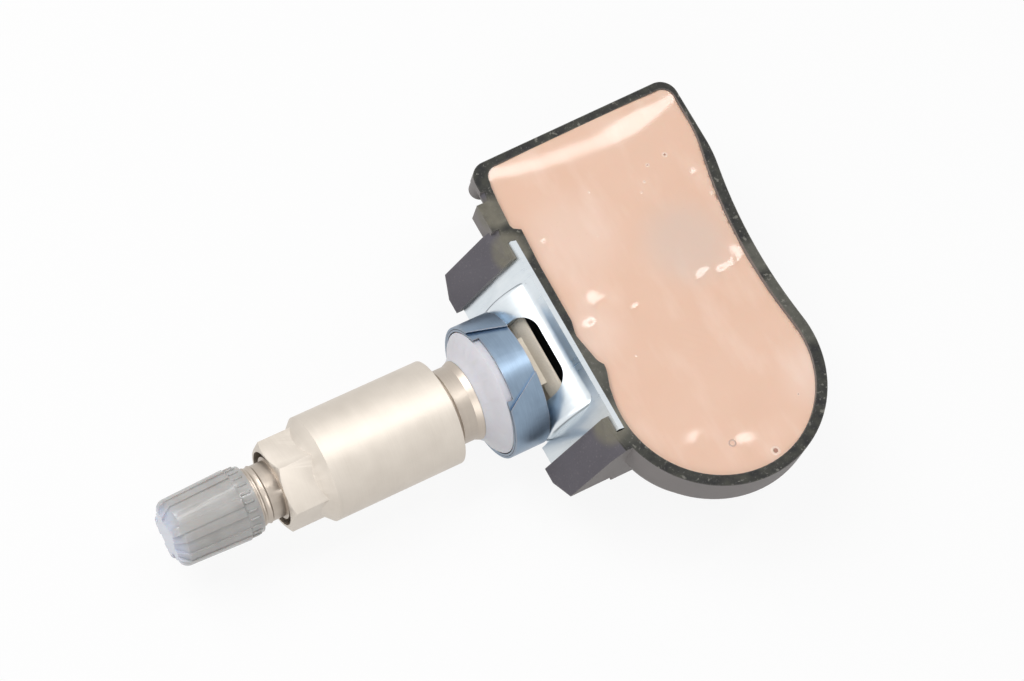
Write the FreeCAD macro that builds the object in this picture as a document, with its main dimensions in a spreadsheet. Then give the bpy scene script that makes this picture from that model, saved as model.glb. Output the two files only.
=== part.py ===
# Tyre pressure sensor: a clamp-in valve with a long sleeve nut, hinged to a potted sensor housing.
#
# Frame, in millimetres. X lies along the valve, from the dust cap towards the housing.
# +Y points to the squared end of the housing and +Z out of its potted face.
# The origin is on the valve's axis, where the flared neck meets the rubber seal: the rim's seat.
import FreeCAD, Part
import Sketcher
import math
import os

doc = FreeCAD.newDocument("tyre_pressure_sensor")
sheet = doc.addObject("Spreadsheet::Sheet", "Sizes")

# Driving dimensions. Lengths are in millimetres, and names that end in _deg are in degrees.
SIZES = {
    # whole part
    "whole_len": "89.0",
    "housing_long": "56.0",
    # valve stem
    "neck_dia": "10.5",
    "neck_len": "1.97",
    "thread_dia": "10.85",
    "thread_short": "6.4",
    "flare_dia": "11.3",
    "flare_len": "0.9",
    "shank_dia": "8.7",
    "tip_dia": "7.75",
    "tip_len": "12.3",
    "seat_dia": "11.0",
    "collar_dia": "15.2",
    "collar_wide": "1.6",
    "web_wide": "7.1",
    "web_high": "7.8",
    # bore of the stem
    "mouth_dia": "5.3",
    "mouth_len": "7.1",
    "barrel_dia": "4.2",
    "barrel_len": "9.0",
    "cone_len": "0.9",
    "air_dia": "2.6",
    # valve core
    "core_recess": "1.2",
    "core_head_len": "5.4",
    "core_len": "12.0",
    "core_waist_dia": "3.9",
    "core_barrel_dia": "3.6",
    "core_spring_room": "2.7",
    "core_wall": "0.7",
    "pin_dia": "1.0",
    "pin_reach": "0.7",
    "pin_collar_dia": "2.4",
    "pin_collar_wide": "0.5",
    "core_seal_dia": "2.8",
    "core_seal_wide": "0.7",
    "core_seal_plate": "0.4",
    "wire_dia": "0.3",
    # dust cap
    "cap_dia": "9.95",
    "cap_nose_dia": "9.3",
    "cap_ring_dia": "9.2",
    "cap_ring_len": "2.0",
    "cap_len": "11.7",
    "cap_nose_len": "1.3",
    "cap_end_wall": "1.9",
    "cap_gap_to_nut": "3.3",
    "cap_turn_deg": "69.6",
    "rib_count": "5",
    "rib_high": "0.16",
    "panel_deg": "58.0",
    "flute_deep": "0.42",
    "flute_nose_deep": "0.9",
    "flute_deg": "25.0",
    "cap_seal_thick": "0.8",
    # sleeve nut
    "nut_dia": "14.64",
    "nut_to_seat": "4.0",
    "hex_flats": "11.0",
    "hex_len": "6.1",
    "hex_turn_deg": "28.5",
    "hex_chamfer": "0.85",
    "nut_mouth_dia": "10.3",
    "nut_mouth_len": "6.5",
    # seal and its steel ring
    "seal_len": "5.1",
    "seal_dia": "17.3",
    "seal_cone_len": "1.9",
    "seal_lip": "0.45",
    "ring_dia": "18.9",
    "ring_start": "2.4",
    "ring_len": "5.1",
    "ring_wall": "0.3",
    "band_wall": "0.33",
    "ring_flange": "0.45",
    "ring_hole_dia": "12.2",
    "ring_notch_deep": "0.9",
    "ring_notch_wide": "9.4",
    "band_gap_front_high": "6.3",
    "band_gap_front_low": "5.9",
    "band_gap_rear_high": "4.4",
    "band_gap_rear_low": "2.8",
    # bracket and foot
    "lean_deg": "28.0",
    "sheet_thick": "1.0",
    "plate_wide": "29.2",
    "plate_reach": "6.28",
    "plate_up": "6.93",
    "plate_down": "6.5",
    "bulge_rad": "8.1",
    "bulge_wide": "19.2",
    "bulge_low_deg": "48.0",
    "crease_rad": "1.8",
    "slot_wide": "11.6",
    "slot_up": "4.25",
    "slot_corner": "2.8",
    "foot_wide": "15.4",
    "foot_thick": "2.5",
    "foot_top_deg": "47.0",
    "foot_low_deg": "24.0",
    "foot_relief_deep": "1.1",
    "foot_relief_top": "3.2",
    # housing
    "rim_z": "8.6",
    "back_z": "3.5",
    "leg_low": "3.0",
    "band_bottom_z": "3.4",
    "lobe_x": "28.8",
    "lobe_y": "13.2",
    "lobe_rad": "15.5",
    "side_x": "45.5",
    "bend_rad": "20.0",
    "waist_rad": "70.0",
    "waist_off_middle": "1.1",
    "end_slant": "0.8",
    "corner_rad": "2.4",
    "base_corner": "3.6",
    "base_inset": "1.0",
    "base_taper_deg": "15.0",
    "floor_thick": "1.4",
    "lobe_rim": "1.5",
    "side_rim": "0.6",
    "end_rim": "1.1",
    "left_rim": "1.95",
    "step_z": "6.4",
    "deep_inset": "2.2",
    "deep_front": "4.0",
    "leg_wide": "35.0",
    "leg_gap": "24.6",
    "leg_reach": "7.1",
    "leg_facet_x": "13.2",
    "leg_facet_tilt": "0.176",
    "leg_cut_wide": "3.0",
    "leg_cut_high": "1.4",
    "left_chamfer_top": "7.6",
    "left_chamfer_in": "4.3",
    "ear_x": "11.95",
    "ear_lap": "0.5",
    "ear_wide": "4.2",
    "ear_z": "4.6",
    "lug_x": "14.85",
    "lug_from_end": "2.8",
    "lug_rad": "1.45",
    "lug_low_z": "4.6",
    "lug_high_z": "7.9",
    "port_dia": "1.6",
    "port_x": "29.0",
    "port_y": "10.0",
    "filter_dia": "4.2",
    "filter_deep": "0.5",
    "gasket_dia": "5.0",
    "gasket_deep": "0.5",
    # inside the housing
    "fill_z": "8.25",
    "pot_gap": "0.1",
    "board_thick": "1.0",
    "cell_dia": "20.0",
    "cell_thick": "5.0",
    "cell_crown_dia": "17.4",
    "cell_crown_high": "0.6",
    "tab_thick": "0.15",
    "tab_wide": "4.0",
    "tab_over": "3.0",
    "tab_foot": "1.6",
    "tab_spread": "4.0",
    "chip_side": "5.0",
    "chip_high": "1.6",
    "chip_lid_side": "4.2",
    "chip_lid_high": "0.4",
    "coil_x": "36.5",
    "coil_from_end": "18.3",
    "coil_len": "8.0",
    "coil_end": "1.2",
    "coil_side": "3.0",
    "coil_waist": "1.6",
    "winding_side": "2.7",
    "loop_x_low": "22.5",
    "loop_x_high": "39.5",
    "loop_from_end": "7.3",
    "loop_high": "4.6",
    "loop_bend": "1.4",
    "loop_wide": "0.8",
    "loop_thick": "0.5",
    "crystal_x": "23.5",
    "crystal_y": "3.5",
    "crystal_long": "3.2",
    "crystal_wide": "2.5",
    "crystal_high": "0.8",
    "capacitor_long": "1.6",
    "capacitor_wide": "0.8",
    "capacitor_high": "0.8",
    "capacitor_x": "24.0",
    "capacitor_from_end": "12.3",
    "capacitor_pitch": "2.6",
    # clearances
    "slip": "0.04",
    "mouth_gap": "0.17",
    "seat_gap": "0.03",
    "crest_gap": "0.1",
    "foot_gap": "0.08",
    "swing_gap": "0.3",
    "air_gap": "0.1",
}

# Places that follow from the driving dimensions.
PLACES = {
    "flare_x": "=-flare_len",
    "neck_x": "=flare_x - neck_len",
    "thread_x": "=nut_x + thread_short",
    "shank_x": "=tip_x + tip_len",
    "tip_x": "=cap_seal_end + mouth_gap",
    "neck_rad": "=neck_dia / 2",
    "thread_rad": "=thread_dia / 2",
    "flare_rad": "=flare_dia / 2",
    "shank_rad": "=shank_dia / 2",
    "tip_rad": "=tip_dia / 2",
    "seat_rad": "=seat_dia / 2",
    "nut_rear_x": "=-nut_to_seat",
    "collar_x": "=seal_len + 2 * seat_gap",
    "collar_rear_x": "=collar_x + collar_wide",
    "collar_rad": "=collar_dia / 2",
    # bore of the stem, and the core in it
    "bore_start_x": "=tip_x - 1",
    "mouth_rad": "=mouth_dia / 2",
    "mouth_end_x": "=tip_x + mouth_len",
    "barrel_rad": "=barrel_dia / 2",
    "barrel_x": "=mouth_end_x + cone_len",
    "barrel_end_x": "=barrel_x + barrel_len",
    "air_rad": "=air_dia / 2",
    "air_end_x": "=pivot_x",
    "core_x": "=tip_x + core_recess",
    "core_head_end": "=core_x + core_head_len",
    "core_head_rad": "=mouth_rad - air_gap",
    "core_waist_rad": "=core_waist_dia / 2",
    "core_waist_end": "=barrel_x",
    "core_barrel_rad": "=core_barrel_dia / 2",
    "core_end_x": "=core_x + core_len",
    "core_room_rad": "=core_spring_room / 2",
    "core_room_x": "=core_x + core_head_len + core_wall - 1",
    "core_room_end": "=core_end_x - core_wall",
    "pin_rad": "=pin_dia / 2",
    "core_hole_rad": "=pin_rad + air_gap",
    "gasket_start_x": "=core_head_end + seat_gap",
    "gasket_end_x": "=mouth_end_x + cone_len * 0.8",
    "gasket_in_rad": "=core_waist_rad + slip",
    "gasket_out_rad": "=mouth_rad - 2 * slip",
    "gasket_low_rad": "=mouth_rad - (mouth_rad - barrel_rad) * 0.8 - 2 * slip",
    "pin_x": "=core_x - pin_reach",
    "pin_collar_rad": "=pin_collar_dia / 2",
    "pin_collar_x": "=core_room_x + core_wall",
    "pin_collar_end": "=pin_collar_x + pin_collar_wide",
    "core_seal_x": "=core_end_x + seat_gap",
    "core_seal_end": "=core_seal_x + core_seal_wide",
    "core_seal_rad": "=core_seal_dia / 2",
    "core_seal_hole": "=pin_rad + seat_gap",
    "plate_x": "=core_seal_end + seat_gap",
    "pin_end_x": "=plate_x + core_seal_plate",
    "spring_x": "=pin_collar_end + wire_dia / 2 + seat_gap",
    "spring_len": "=core_room_end - wire_dia / 2 - seat_gap - spring_x",
    "spring_rad": "=(core_room_rad + pin_rad) / 2",
    # nut
    "nut_rad": "=nut_dia / 2",
    "nut_len": "=whole_len - side_x - cap_len - cap_gap_to_nut - hex_len - nut_to_seat",
    "nut_x": "=nut_rear_x - nut_len",
    "hex_x": "=nut_x - hex_len",
    "hex_flat_rad": "=hex_flats / 2",
    "hex_rad": "=hex_flats / sqrt(3)",
    "hex_cone_x": "=nut_x - (nut_rad - hex_flat_rad)",
    "hex_cone_rad": "=hex_flat_rad",
    "hex_end_x": "=hex_x + hex_chamfer",
    "hex_out_rad": "=hex_flat_rad + hex_chamfer * sqrt(3)",
    "nut_bore_rad": "=thread_rad + slip",
    "nut_mouth_rad": "=nut_mouth_dia / 2",
    "nut_step_x": "=hex_x + nut_mouth_len",
    "nut_before_x": "=hex_x - 1",
    "nut_after_x": "=nut_rear_x + 1",
    # cap
    "cap_base_x": "=hex_x - cap_gap_to_nut",
    "cap_ring_x": "=cap_base_x - cap_ring_len",
    "cap_tip_x": "=cap_base_x - cap_len",
    "cap_nose_x": "=cap_tip_x + cap_nose_len",
    "cap_rad": "=cap_dia / 2",
    "cap_ring_rad": "=cap_ring_dia / 2",
    "cap_nose_rad": "=cap_nose_dia / 2",
    "cap_crown_rad": "=cap_nose_rad - cap_nose_len",
    "cap_bore_rad": "=tip_rad + 2 * slip",
    "cap_floor_x": "=cap_tip_x + cap_end_wall",
    "cap_seal_rad": "=cap_bore_rad - slip",
    "cap_seal_x": "=cap_floor_x + seat_gap",
    "cap_seal_end": "=cap_seal_x + cap_seal_thick",
    "cap_out_rad": "=cap_rad + 1",
    "cap_front_x": "=cap_tip_x - 1",
    "panel_rad": "=cap_rad - rib_high",
    "panel_nose_rad": "=cap_nose_rad - rib_high",
    "panel_crown_rad": "=cap_crown_rad - rib_high",
    "flute_rad": "=cap_rad - flute_deep",
    "flute_nose_rad": "=cap_nose_rad - flute_deep",
    "flute_crown_rad": "=cap_crown_rad - flute_nose_deep",
    # seal, ring and band
    "seal_x": "=seat_gap",
    "seal_end_x": "=seal_x + seal_len",
    "seal_bore_rad": "=seat_rad + seat_gap",
    "seal_rad": "=seal_dia / 2",
    "seal_cone_x": "=seal_x + seal_cone_len",
    "seal_cone_rad": "=seal_rad - seal_lip",
    "seal_lip_x": "=seal_cone_x + seal_lip",
    "seal_mid_x": "=seal_x + seal_cone_len * 0.55",
    "seal_mid_rad": "=flare_rad + (seal_cone_rad - flare_rad) * 0.38",
    "ring_rad": "=ring_dia / 2",
    "ring_rear_x": "=ring_start + ring_len",
    "ring_outer": "=ring_rad - band_wall - slip",
    "ring_inner": "=ring_outer - ring_wall",
    "ring_flange_x": "=ring_rear_x - ring_flange",
    "ring_hole_rad": "=ring_hole_dia / 2",
    "ring_notch_x": "=ring_start + ring_notch_deep",
    "ring_notch_y": "=ring_notch_wide / 2",
    "ring_before_x": "=ring_start - 1",
    "band_inner": "=ring_rad - band_wall",
    # bracket, pivot and foot
    "pivot_x": "=ring_rear_x + crest_gap + bulge_rad",
    "lean_sin": "=sin(lean_deg * 1deg)",
    "lean_cos": "=cos(lean_deg * 1deg)",
    "plate_out_x": "=-plate_reach",
    "plate_in_x": "=sheet_thick - plate_reach",
    "plate_low": "=-plate_down",
    "bulge_in_rad": "=bulge_rad - sheet_thick",
    "bulge_top_z": "=sqrt(bulge_rad * bulge_rad - plate_reach * plate_reach)",
    "bulge_low_x": "=-bulge_rad * cos(bulge_low_deg * 1deg)",
    "bulge_low_z": "=-bulge_rad * sin(bulge_low_deg * 1deg)",
    "bulge_in_low_x": "=-bulge_in_rad * cos(bulge_low_deg * 1deg)",
    "bulge_in_low_z": "=-bulge_in_rad * sin(bulge_low_deg * 1deg)",
    "bulge_hollow_wide": "=bulge_wide - 2 * sheet_thick",
    "slot_half": "=slot_wide / 2",
    "slot_side_z": "=slot_up - slot_corner",
    "slot_corner_y": "=slot_half - slot_corner",
    "slot_low": "=-bulge_rad",
    "foot_rad": "=bulge_in_rad - foot_gap",
    "foot_back_x": "=pivot_x - foot_rad + foot_thick",
    "foot_top_z": "=foot_rad * sin(foot_top_deg * 1deg)",
    "foot_top_x": "=pivot_x - foot_rad * cos(foot_top_deg * 1deg)",
    "foot_low_z": "=-foot_rad * sin(foot_low_deg * 1deg)",
    "foot_low_x": "=pivot_x - foot_rad * cos(foot_low_deg * 1deg)",
    "foot_relief_x": "=pivot_x - foot_rad + foot_relief_deep",
    "foot_relief_low": "=foot_low_z - 1",
    "foot_relief_cut": "=foot_relief_deep + 0.2",
    "web_half": "=web_wide / 2",
    "web_half_z": "=web_high / 2",
    "web_low": "=foot_low_z",
    "web_x": "=collar_rear_x - 0.2",
    "web_end_x": "=foot_back_x - foot_thick / 2",
}


def fill_sheet(table):
    """Name and value of each entry go into one row. All names come before the first formula."""
    for row, name in enumerate(table, start=1):
        sheet.set("A%d" % row, name)
        sheet.setAlias("B%d" % row, name)
    for row, text in enumerate(table.values(), start=1):
        sheet.set("B%d" % row, text)
    doc.recompute()


def split_sign(name):
    """A leading minus in a name means the negative of that value."""
    if name.startswith("-"):
        return -1.0, name[1:]
    return 1.0, name


def value(name):
    """Number that a name of the sheet stands for."""
    sign, word = split_sign(name)
    if word == "0":
        return 0.0
    return sign * float(sheet.get(word))


def cell(name):
    """Expression that binds a property to a name of the sheet."""
    sign, word = split_sign(name)
    return ("-" if sign < 0 else "") + "Sizes." + word


def outline_places(prefix, lobe_in, side_in, end_in, left_in, corner):
    """Cells of the housing's outline, set in from the rim's outer edge by the given amounts.

    A straight left side and a squared end lead into a side that bends in to a waist,
    and from there into a round lobe. Each arc is tangent to the next.
    """
    p = prefix + "_"
    return {
        p + "rad": "=lobe_rad - (%s)" % lobe_in,
        p + "left": "=lobe_x - lobe_rad + (%s)" % left_in,
        p + "side": "=side_x - (%s)" % side_in,
        p + "bend": "=bend_rad - (%s)" % side_in,
        p + "waist": "=waist_rad + (%s)" % side_in,
        p + "corner": "=%s" % corner,
        p + "cy": "=-lobe_y",
        p + "wy": "=-waist_y",
        p + "wx": "=lobe_x + sqrt((%swaist + %srad)^2 - (%swy - %scy)^2)" % (p, p, p, p),
        p + "bx": "=%sside - %sbend" % (p, p),
        p + "by": "=%swy + sqrt((%sbend + %swaist)^2 - (%swx - %sbx)^2)" % (p, p, p, p, p),
        p + "turn_x": "=%sbx + %sbend * (%swx - %sbx) / (%sbend + %swaist)" % (p, p, p, p, p, p),
        p + "turn_y": "=%sby + %sbend * (%swy - %sby) / (%sbend + %swaist)" % (p, p, p, p, p, p),
        p + "join_x": "=lobe_x + %srad * (%swx - lobe_x) / (%swaist + %srad)" % (p, p, p, p),
        p + "join_y": "=%scy + %srad * (%swy - %scy) / (%swaist + %srad)" % (p, p, p, p, p, p),
        p + "foot_y": "=%scy - %srad" % (p, p),
        p + "left_y": "=%scy + sqrt(abs(%srad^2 - (lobe_x - %sleft)^2))" % (p, p, p),
        p + "end_low": "=end_low_y - (%s)" % end_in,
        p + "end_high": "=end_high_y - (%s)" % end_in,
        p + "low_corner_y": "=%send_low - %scorner" % (p, p),
        p + "low_corner_x": "=%sleft + %scorner" % (p, p),
        p + "high_corner_x": "=%sside - %scorner" % (p, p),
        p + "high_corner_y": "=%send_high - %scorner" % (p, p),
    }


def inner_places(prefix, inset):
    """Cells of the plainer outline of what lies in the deep part of the tray."""
    p = prefix + "_"
    return {
        p + "rad": "=lobe_rad - lobe_rim - deep_inset - (%s)" % inset,
        p + "left": "=lobe_x - lobe_rad + left_rim + deep_front + (%s)" % inset,
        p + "side": "=side_x - side_rim - deep_inset - (%s)" % inset,
        p + "end": "=end_low_y - end_rim - deep_inset - (%s)" % inset,
        p + "cy": "=-lobe_y",
        p + "east_x": "=lobe_x + %srad" % p,
        p + "foot_y": "=%scy - %srad" % (p, p),
        p + "left_y": "=%scy + sqrt(abs(%srad^2 - (lobe_x - %sleft)^2))" % (p, p, p),
    }


def lean_places(name, reach, height):
    """Cells for the point at a height on a plane parallel to the bracket, at a reach from the pivot."""
    return {
        name + "_x": "=pivot_x - ((%s) - (%s) * lean_sin) / lean_cos" % (reach, height),
        name + "_z": "=%s" % height,
    }


HULL = outline_places("hull", "0", "0", "0", "0", "corner_rad")
SOLE = outline_places("sole", "base_inset", "base_inset", "base_inset", "base_inset", "base_corner")
WELL = outline_places("well", "lobe_rim", "side_rim", "end_rim", "left_rim", "corner_rad - side_rim")
DEEP = inner_places("deep", "0")
FILL = outline_places("fill", "lobe_rim + seat_gap", "side_rim + seat_gap", "end_rim + seat_gap",
                      "left_rim + seat_gap", "corner_rad - side_rim")
PLUG = inner_places("plug", "seat_gap")
BOARD = inner_places("board", "swing_gap")

HOUSING_PLACES = {
    "back": "=-back_z",
    "end_high_y": "=housing_long - lobe_rad - lobe_y",
    "end_low_y": "=end_high_y - end_slant",
    "waist_y": "=waist_off_middle - (end_high_y - lobe_y - lobe_rad) / 2",
    "hull_high": "=rim_z - band_bottom_z",
    "base_high": "=band_bottom_z + back_z",
    "floor_z": "=back + floor_thick",
    "well_deep": "=rim_z - step_z",
    "deep_deep": "=step_z - floor_z",
    "seat_reach": "=plate_reach - sheet_thick - seat_gap",
    "plate_front": "=plate_reach + seat_gap",
    "far_reach": "=leg_reach + 6",
    "over_z": "=rim_z + 1",
    "under_z": "=back - 1",
    "leg_half": "=leg_wide / 2",
    "leg_cut_y": "=leg_half - leg_cut_wide",
    "leg_back": "=-leg_low",
    "leg_cut_z": "=leg_back + leg_cut_high",
    "leg_far_y": "=leg_half + 1",
    "facet_rad": "=leg_half - leg_gap / 2 - slip",
    "leg_inside_x": "=deep_left - 0.4",
    "plate_pocket_wide": "=plate_wide + 2 * slip + 0.2",
    "relief_z": "=-1.0",
    "relief_in_x": "=pivot_x - bulge_in_rad * cos((bulge_low_deg - lean_deg) * 1deg) + swing_gap",
    "relief_out_x": "=ring_rear_x - 3",
    "relief_wide": "=bulge_wide + 2 * swing_gap",
    "swing_rad": "=foot_rad + swing_gap",
    "swing_back_x": "=lobe_x - lobe_rad + left_rim - 0.8",
    "swing_top_z": "=sqrt(swing_rad^2 - (pivot_x - swing_back_x)^2)",
    "swing_reach": "=(foot_rad - foot_thick) * lean_cos + foot_low_z * lean_sin - swing_gap",
    "swing_bend_z": "=(swing_reach - (pivot_x - swing_back_x) * lean_cos) / lean_sin",
    "swing_low_z": "=back - swing_gap",
    "swing_low_x": "=pivot_x - (swing_reach - swing_low_z * lean_sin) / lean_cos",
    "swing_front_x": "=pivot_x - sqrt(swing_rad^2 - swing_low_z^2)",
    "swing_wide": "=foot_wide + 2 * swing_gap",
    "chamfer_out_x": "=ear_x - 1",
    "chamfer_low_x": "=hull_left + left_chamfer_in",
    "chamfer_y": "=leg_wide / 2 + 0.05",
    "ear_in_x": "=well_left - 0.2",
    "ear_low_y": "=leg_half - ear_lap",
    "ear_high_y": "=ear_low_y + ear_wide",
    "ear_high": "=rim_z - ear_z",
    "lug_y": "=end_high_y - lug_from_end",
    "lug_high": "=lug_high_z - lug_low_z",
    "port_rad": "=port_dia / 2",
    "filter_rad": "=filter_dia / 2",
    "filter_seat_z": "=back + filter_deep",
    "gasket_rad": "=gasket_dia / 2",
    "gasket_seat_z": "=floor_z - gasket_deep",
    # inside the housing
    "fill_high": "=fill_z - step_z - seat_gap",
    "fill_base_z": "=step_z + seat_gap",
    "plug_high": "=fill_base_z - part_z",
    "board_z": "=floor_z + seat_gap",
    "board_top_z": "=board_z + board_thick",
    "part_z": "=board_top_z + seat_gap",
    "tab_low_z": "=part_z",
    "cell_z": "=tab_low_z + tab_thick + seat_gap",
    "cell_top_z": "=cell_z + cell_thick",
    "cell_rad": "=cell_dia / 2",
    "tab_top_z": "=cell_top_z + seat_gap",
    "tab_over_z": "=tab_top_z + tab_thick",
    "crown_rad": "=cell_crown_dia / 2",
    "can_high": "=cell_thick - cell_crown_high",
    "tab_high_x": "=lobe_x + tab_spread",
    "tab_low_x": "=lobe_x - tab_spread",
    "tab_end_y": "=-lobe_y - tab_over",
    "tab_drop_y": "=-lobe_y + cell_rad + swing_gap",
    "tab_out_y": "=tab_drop_y + tab_thick",
    "tab_foot_y": "=tab_out_y + tab_foot",
    "tab_foot_z": "=part_z + tab_thick",
    "cell_y": "=-lobe_y",
    "chip_x_low": "=port_x - chip_side / 2",
    "chip_x_high": "=port_x + chip_side / 2",
    "chip_y_low": "=port_y - chip_side / 2",
    "chip_y_high": "=port_y + chip_side / 2",
    "lid_x_low": "=port_x - chip_lid_side / 2",
    "lid_x_high": "=port_x + chip_lid_side / 2",
    "lid_y_low": "=port_y - chip_lid_side / 2",
    "lid_y_high": "=port_y + chip_lid_side / 2",
    "chip_top_z": "=part_z + chip_high",
    "coil_x_low": "=coil_x - coil_side / 2",
    "coil_x_high": "=coil_x + coil_side / 2",
    "coil_top_z": "=part_z + coil_side",
    "coil_mid_z": "=part_z + coil_side / 2",
    "waist_x_low": "=coil_x - coil_waist / 2",
    "waist_x_high": "=coil_x + coil_waist / 2",
    "waist_z_low": "=coil_mid_z - coil_waist / 2",
    "waist_z_high": "=coil_mid_z + coil_waist / 2",
    "wind_x_low": "=coil_x - winding_side / 2",
    "wind_x_high": "=coil_x + winding_side / 2",
    "wind_z_low": "=coil_mid_z - winding_side / 2",
    "wind_z_high": "=coil_mid_z + winding_side / 2",
    "wind_in_x_low": "=waist_x_low - slip",
    "wind_in_x_high": "=waist_x_high + slip",
    "wind_in_z_low": "=waist_z_low - slip",
    "wind_in_z_high": "=waist_z_high + slip",
    "wind_low_y": "=coil_low_in + slip",
    "wind_len": "=coil_high_in - coil_low_in - 2 * slip",
    "crystal_x_low": "=crystal_x - crystal_long / 2",
    "crystal_x_high": "=crystal_x + crystal_long / 2",
    "crystal_y_low": "=crystal_y - crystal_wide / 2",
    "crystal_y_high": "=crystal_y + crystal_wide / 2",
    "gasket_z": "=gasket_seat_z + seat_gap",
    "gasket_high": "=floor_z - gasket_z",
    "filter_disc_rad": "=filter_rad - slip",
    "gasket_disc_rad": "=gasket_rad - slip",
    "filter_high": "=filter_deep - seat_gap",
    "room_cell_rad": "=cell_rad + pot_gap",
    "room_cell_high": "=tab_over_z + pot_gap - part_z",
    "room_tab_x_low": "=tab_low_x - tab_wide / 2 - pot_gap",
    "room_tab_x_high": "=tab_high_x + tab_wide / 2 + pot_gap",
    "room_tab_y": "=tab_foot_y + pot_gap",
    "room_chip_x_low": "=chip_x_low - pot_gap",
    "room_chip_x_high": "=chip_x_high + pot_gap",
    "room_chip_y_low": "=chip_y_low - pot_gap",
    "room_chip_y_high": "=chip_y_high + pot_gap",
    "room_chip_high": "=chip_high + chip_lid_high + pot_gap",
    "room_coil_x_low": "=coil_x_low - pot_gap",
    "room_coil_x_high": "=coil_x_high + pot_gap",
    "room_coil_y_low": "=coil_low_y - pot_gap",
    "room_coil_y_high": "=coil_high_y + pot_gap",
    "room_coil_high": "=coil_side + pot_gap",
    "room_loop_x_low": "=loop_x_low - pot_gap",
    "room_loop_x_high": "=loop_x_high + pot_gap",
    "room_loop_y_low": "=loop_y - loop_wide / 2 - pot_gap",
    "room_loop_y_high": "=loop_y + loop_wide / 2 + pot_gap",
    "room_loop_high": "=loop_high + pot_gap",
    "room_crystal_x_low": "=crystal_x_low - pot_gap",
    "room_crystal_x_high": "=crystal_x_high + pot_gap",
    "room_crystal_y_low": "=crystal_y_low - pot_gap",
    "room_crystal_y_high": "=crystal_y_high + pot_gap",
    "room_crystal_high": "=crystal_high + pot_gap",
    "capacitor_y": "=end_high_y - capacitor_from_end",
    "room_cap_x_low": "=capacitor_x - capacitor_long / 2 - pot_gap",
    "room_cap_x_high": "=capacitor_x + capacitor_long / 2 + pot_gap",
    "room_cap_y_low": "=capacitor_y - capacitor_wide / 2 - pot_gap",
    "room_cap_y_high": "=capacitor_y + 2 * capacitor_pitch + capacitor_wide / 2 + pot_gap",
    "room_cap_high": "=capacitor_high + pot_gap",
    "coil_y": "=end_high_y - coil_from_end",
    "coil_low_y": "=coil_y - coil_len / 2",
    "coil_high_y": "=coil_y + coil_len / 2",
    "coil_low_in": "=coil_low_y + coil_end",
    "coil_high_in": "=coil_high_y - coil_end",
    "loop_y": "=end_high_y - loop_from_end",
    "loop_low_bend": "=loop_x_low + loop_bend",
    "loop_high_bend": "=loop_x_high - loop_bend",
    "loop_top_z": "=part_z + loop_high",
    "loop_under_z": "=loop_top_z - loop_thick",
    "loop_in_bend": "=loop_bend - loop_thick",
    "loop_in_x_low": "=loop_x_low + loop_thick",
    "loop_in_x_high": "=loop_x_high - loop_thick",
    "loop_side_z": "=loop_top_z - loop_bend",
}

HEXAGON = {}
for corner in range(6):
    turn = "((hex_turn_deg + %d) * 1deg)" % (60 * corner)
    HEXAGON["hex_%d_y" % corner] = "=hex_rad * cos" + turn
    HEXAGON["hex_%d_z" % corner] = "=hex_rad * sin" + turn
LEANING = {}
for name, reach, height in (("leg_top", "leg_reach", "rim_z"), ("leg_foot", "leg_reach", "leg_back"),
                            ("seat_top", "seat_reach", "over_z"), ("seat_low", "seat_reach", "under_z"),
                            ("far_top", "far_reach", "over_z"), ("far_low", "far_reach", "under_z"),
                            ("front_top", "plate_front", "over_z"),
                            ("front_low", "plate_front", "under_z")):
    LEANING.update(lean_places(name, reach, height))
everything = {}
for block in (SIZES, PLACES, HULL, SOLE, WELL, DEEP, FILL, PLUG, BOARD, HOUSING_PLACES, HEXAGON, LEANING):
    everything.update(block)
fill_sheet(everything)


def new_body(name):
    """Body of one sub-part, whose label names its file."""
    body = doc.addObject("PartDesign::Body", name)
    body.Label = name
    return body


def new_sketch(body, name, role, offset=None):
    """Sketch on one of the body's own origin planes, moved along its normal if an offset is named."""
    sketch = body.newObject("Sketcher::SketchObject", body.Label + "_" + name)
    plane = [item for item in body.Origin.OriginFeatures if item.Role == role][0]
    sketch.AttachmentSupport = [(plane, "")]
    sketch.MapMode = "FlatFace"
    if offset:
        sketch.setExpression("AttachmentOffset.Base.z", cell(offset))
    return sketch


def hold_point(sketch, geometry, end, name_x, name_y):
    """Hold a point of a sketch at two named coordinates."""
    for kind, name, axis in (("DistanceX", name_x, -2), ("DistanceY", name_y, -1)):
        if name == "0":
            sketch.addConstraint(Sketcher.Constraint("PointOnObject", geometry, end, axis))
        else:
            index = sketch.addConstraint(Sketcher.Constraint(kind, geometry, end, value(name)))
            sketch.setExpression("Constraints[%d]" % index, cell(name))


def hold_radius(sketch, geometry, name):
    """Hold the radius of an arc or a circle."""
    index = sketch.addConstraint(Sketcher.Constraint("Radius", geometry, value(name)))
    sketch.setExpression("Constraints[%d]" % index, cell(name))


def arc_between(start, end, radius, turn):
    """Arc from start to end on a circle of the radius. A turn of 1 is anticlockwise, -1 clockwise."""
    chord = end.sub(start)
    across = FreeCAD.Vector(-chord.y, chord.x, 0).normalize()
    rise = math.sqrt(max(radius ** 2 - (chord.Length / 2) ** 2, 0))
    centre = start.add(end).multiply(0.5).add(across.multiply(turn * rise))
    angles = [math.atan2(point.y - centre.y, point.x - centre.x) for point in (start, end)]
    if turn < 0:
        angles.reverse()
    return Part.ArcOfCircle(Part.Circle(centre, FreeCAD.Vector(0, 0, 1), radius), angles[0], angles[1])


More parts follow.
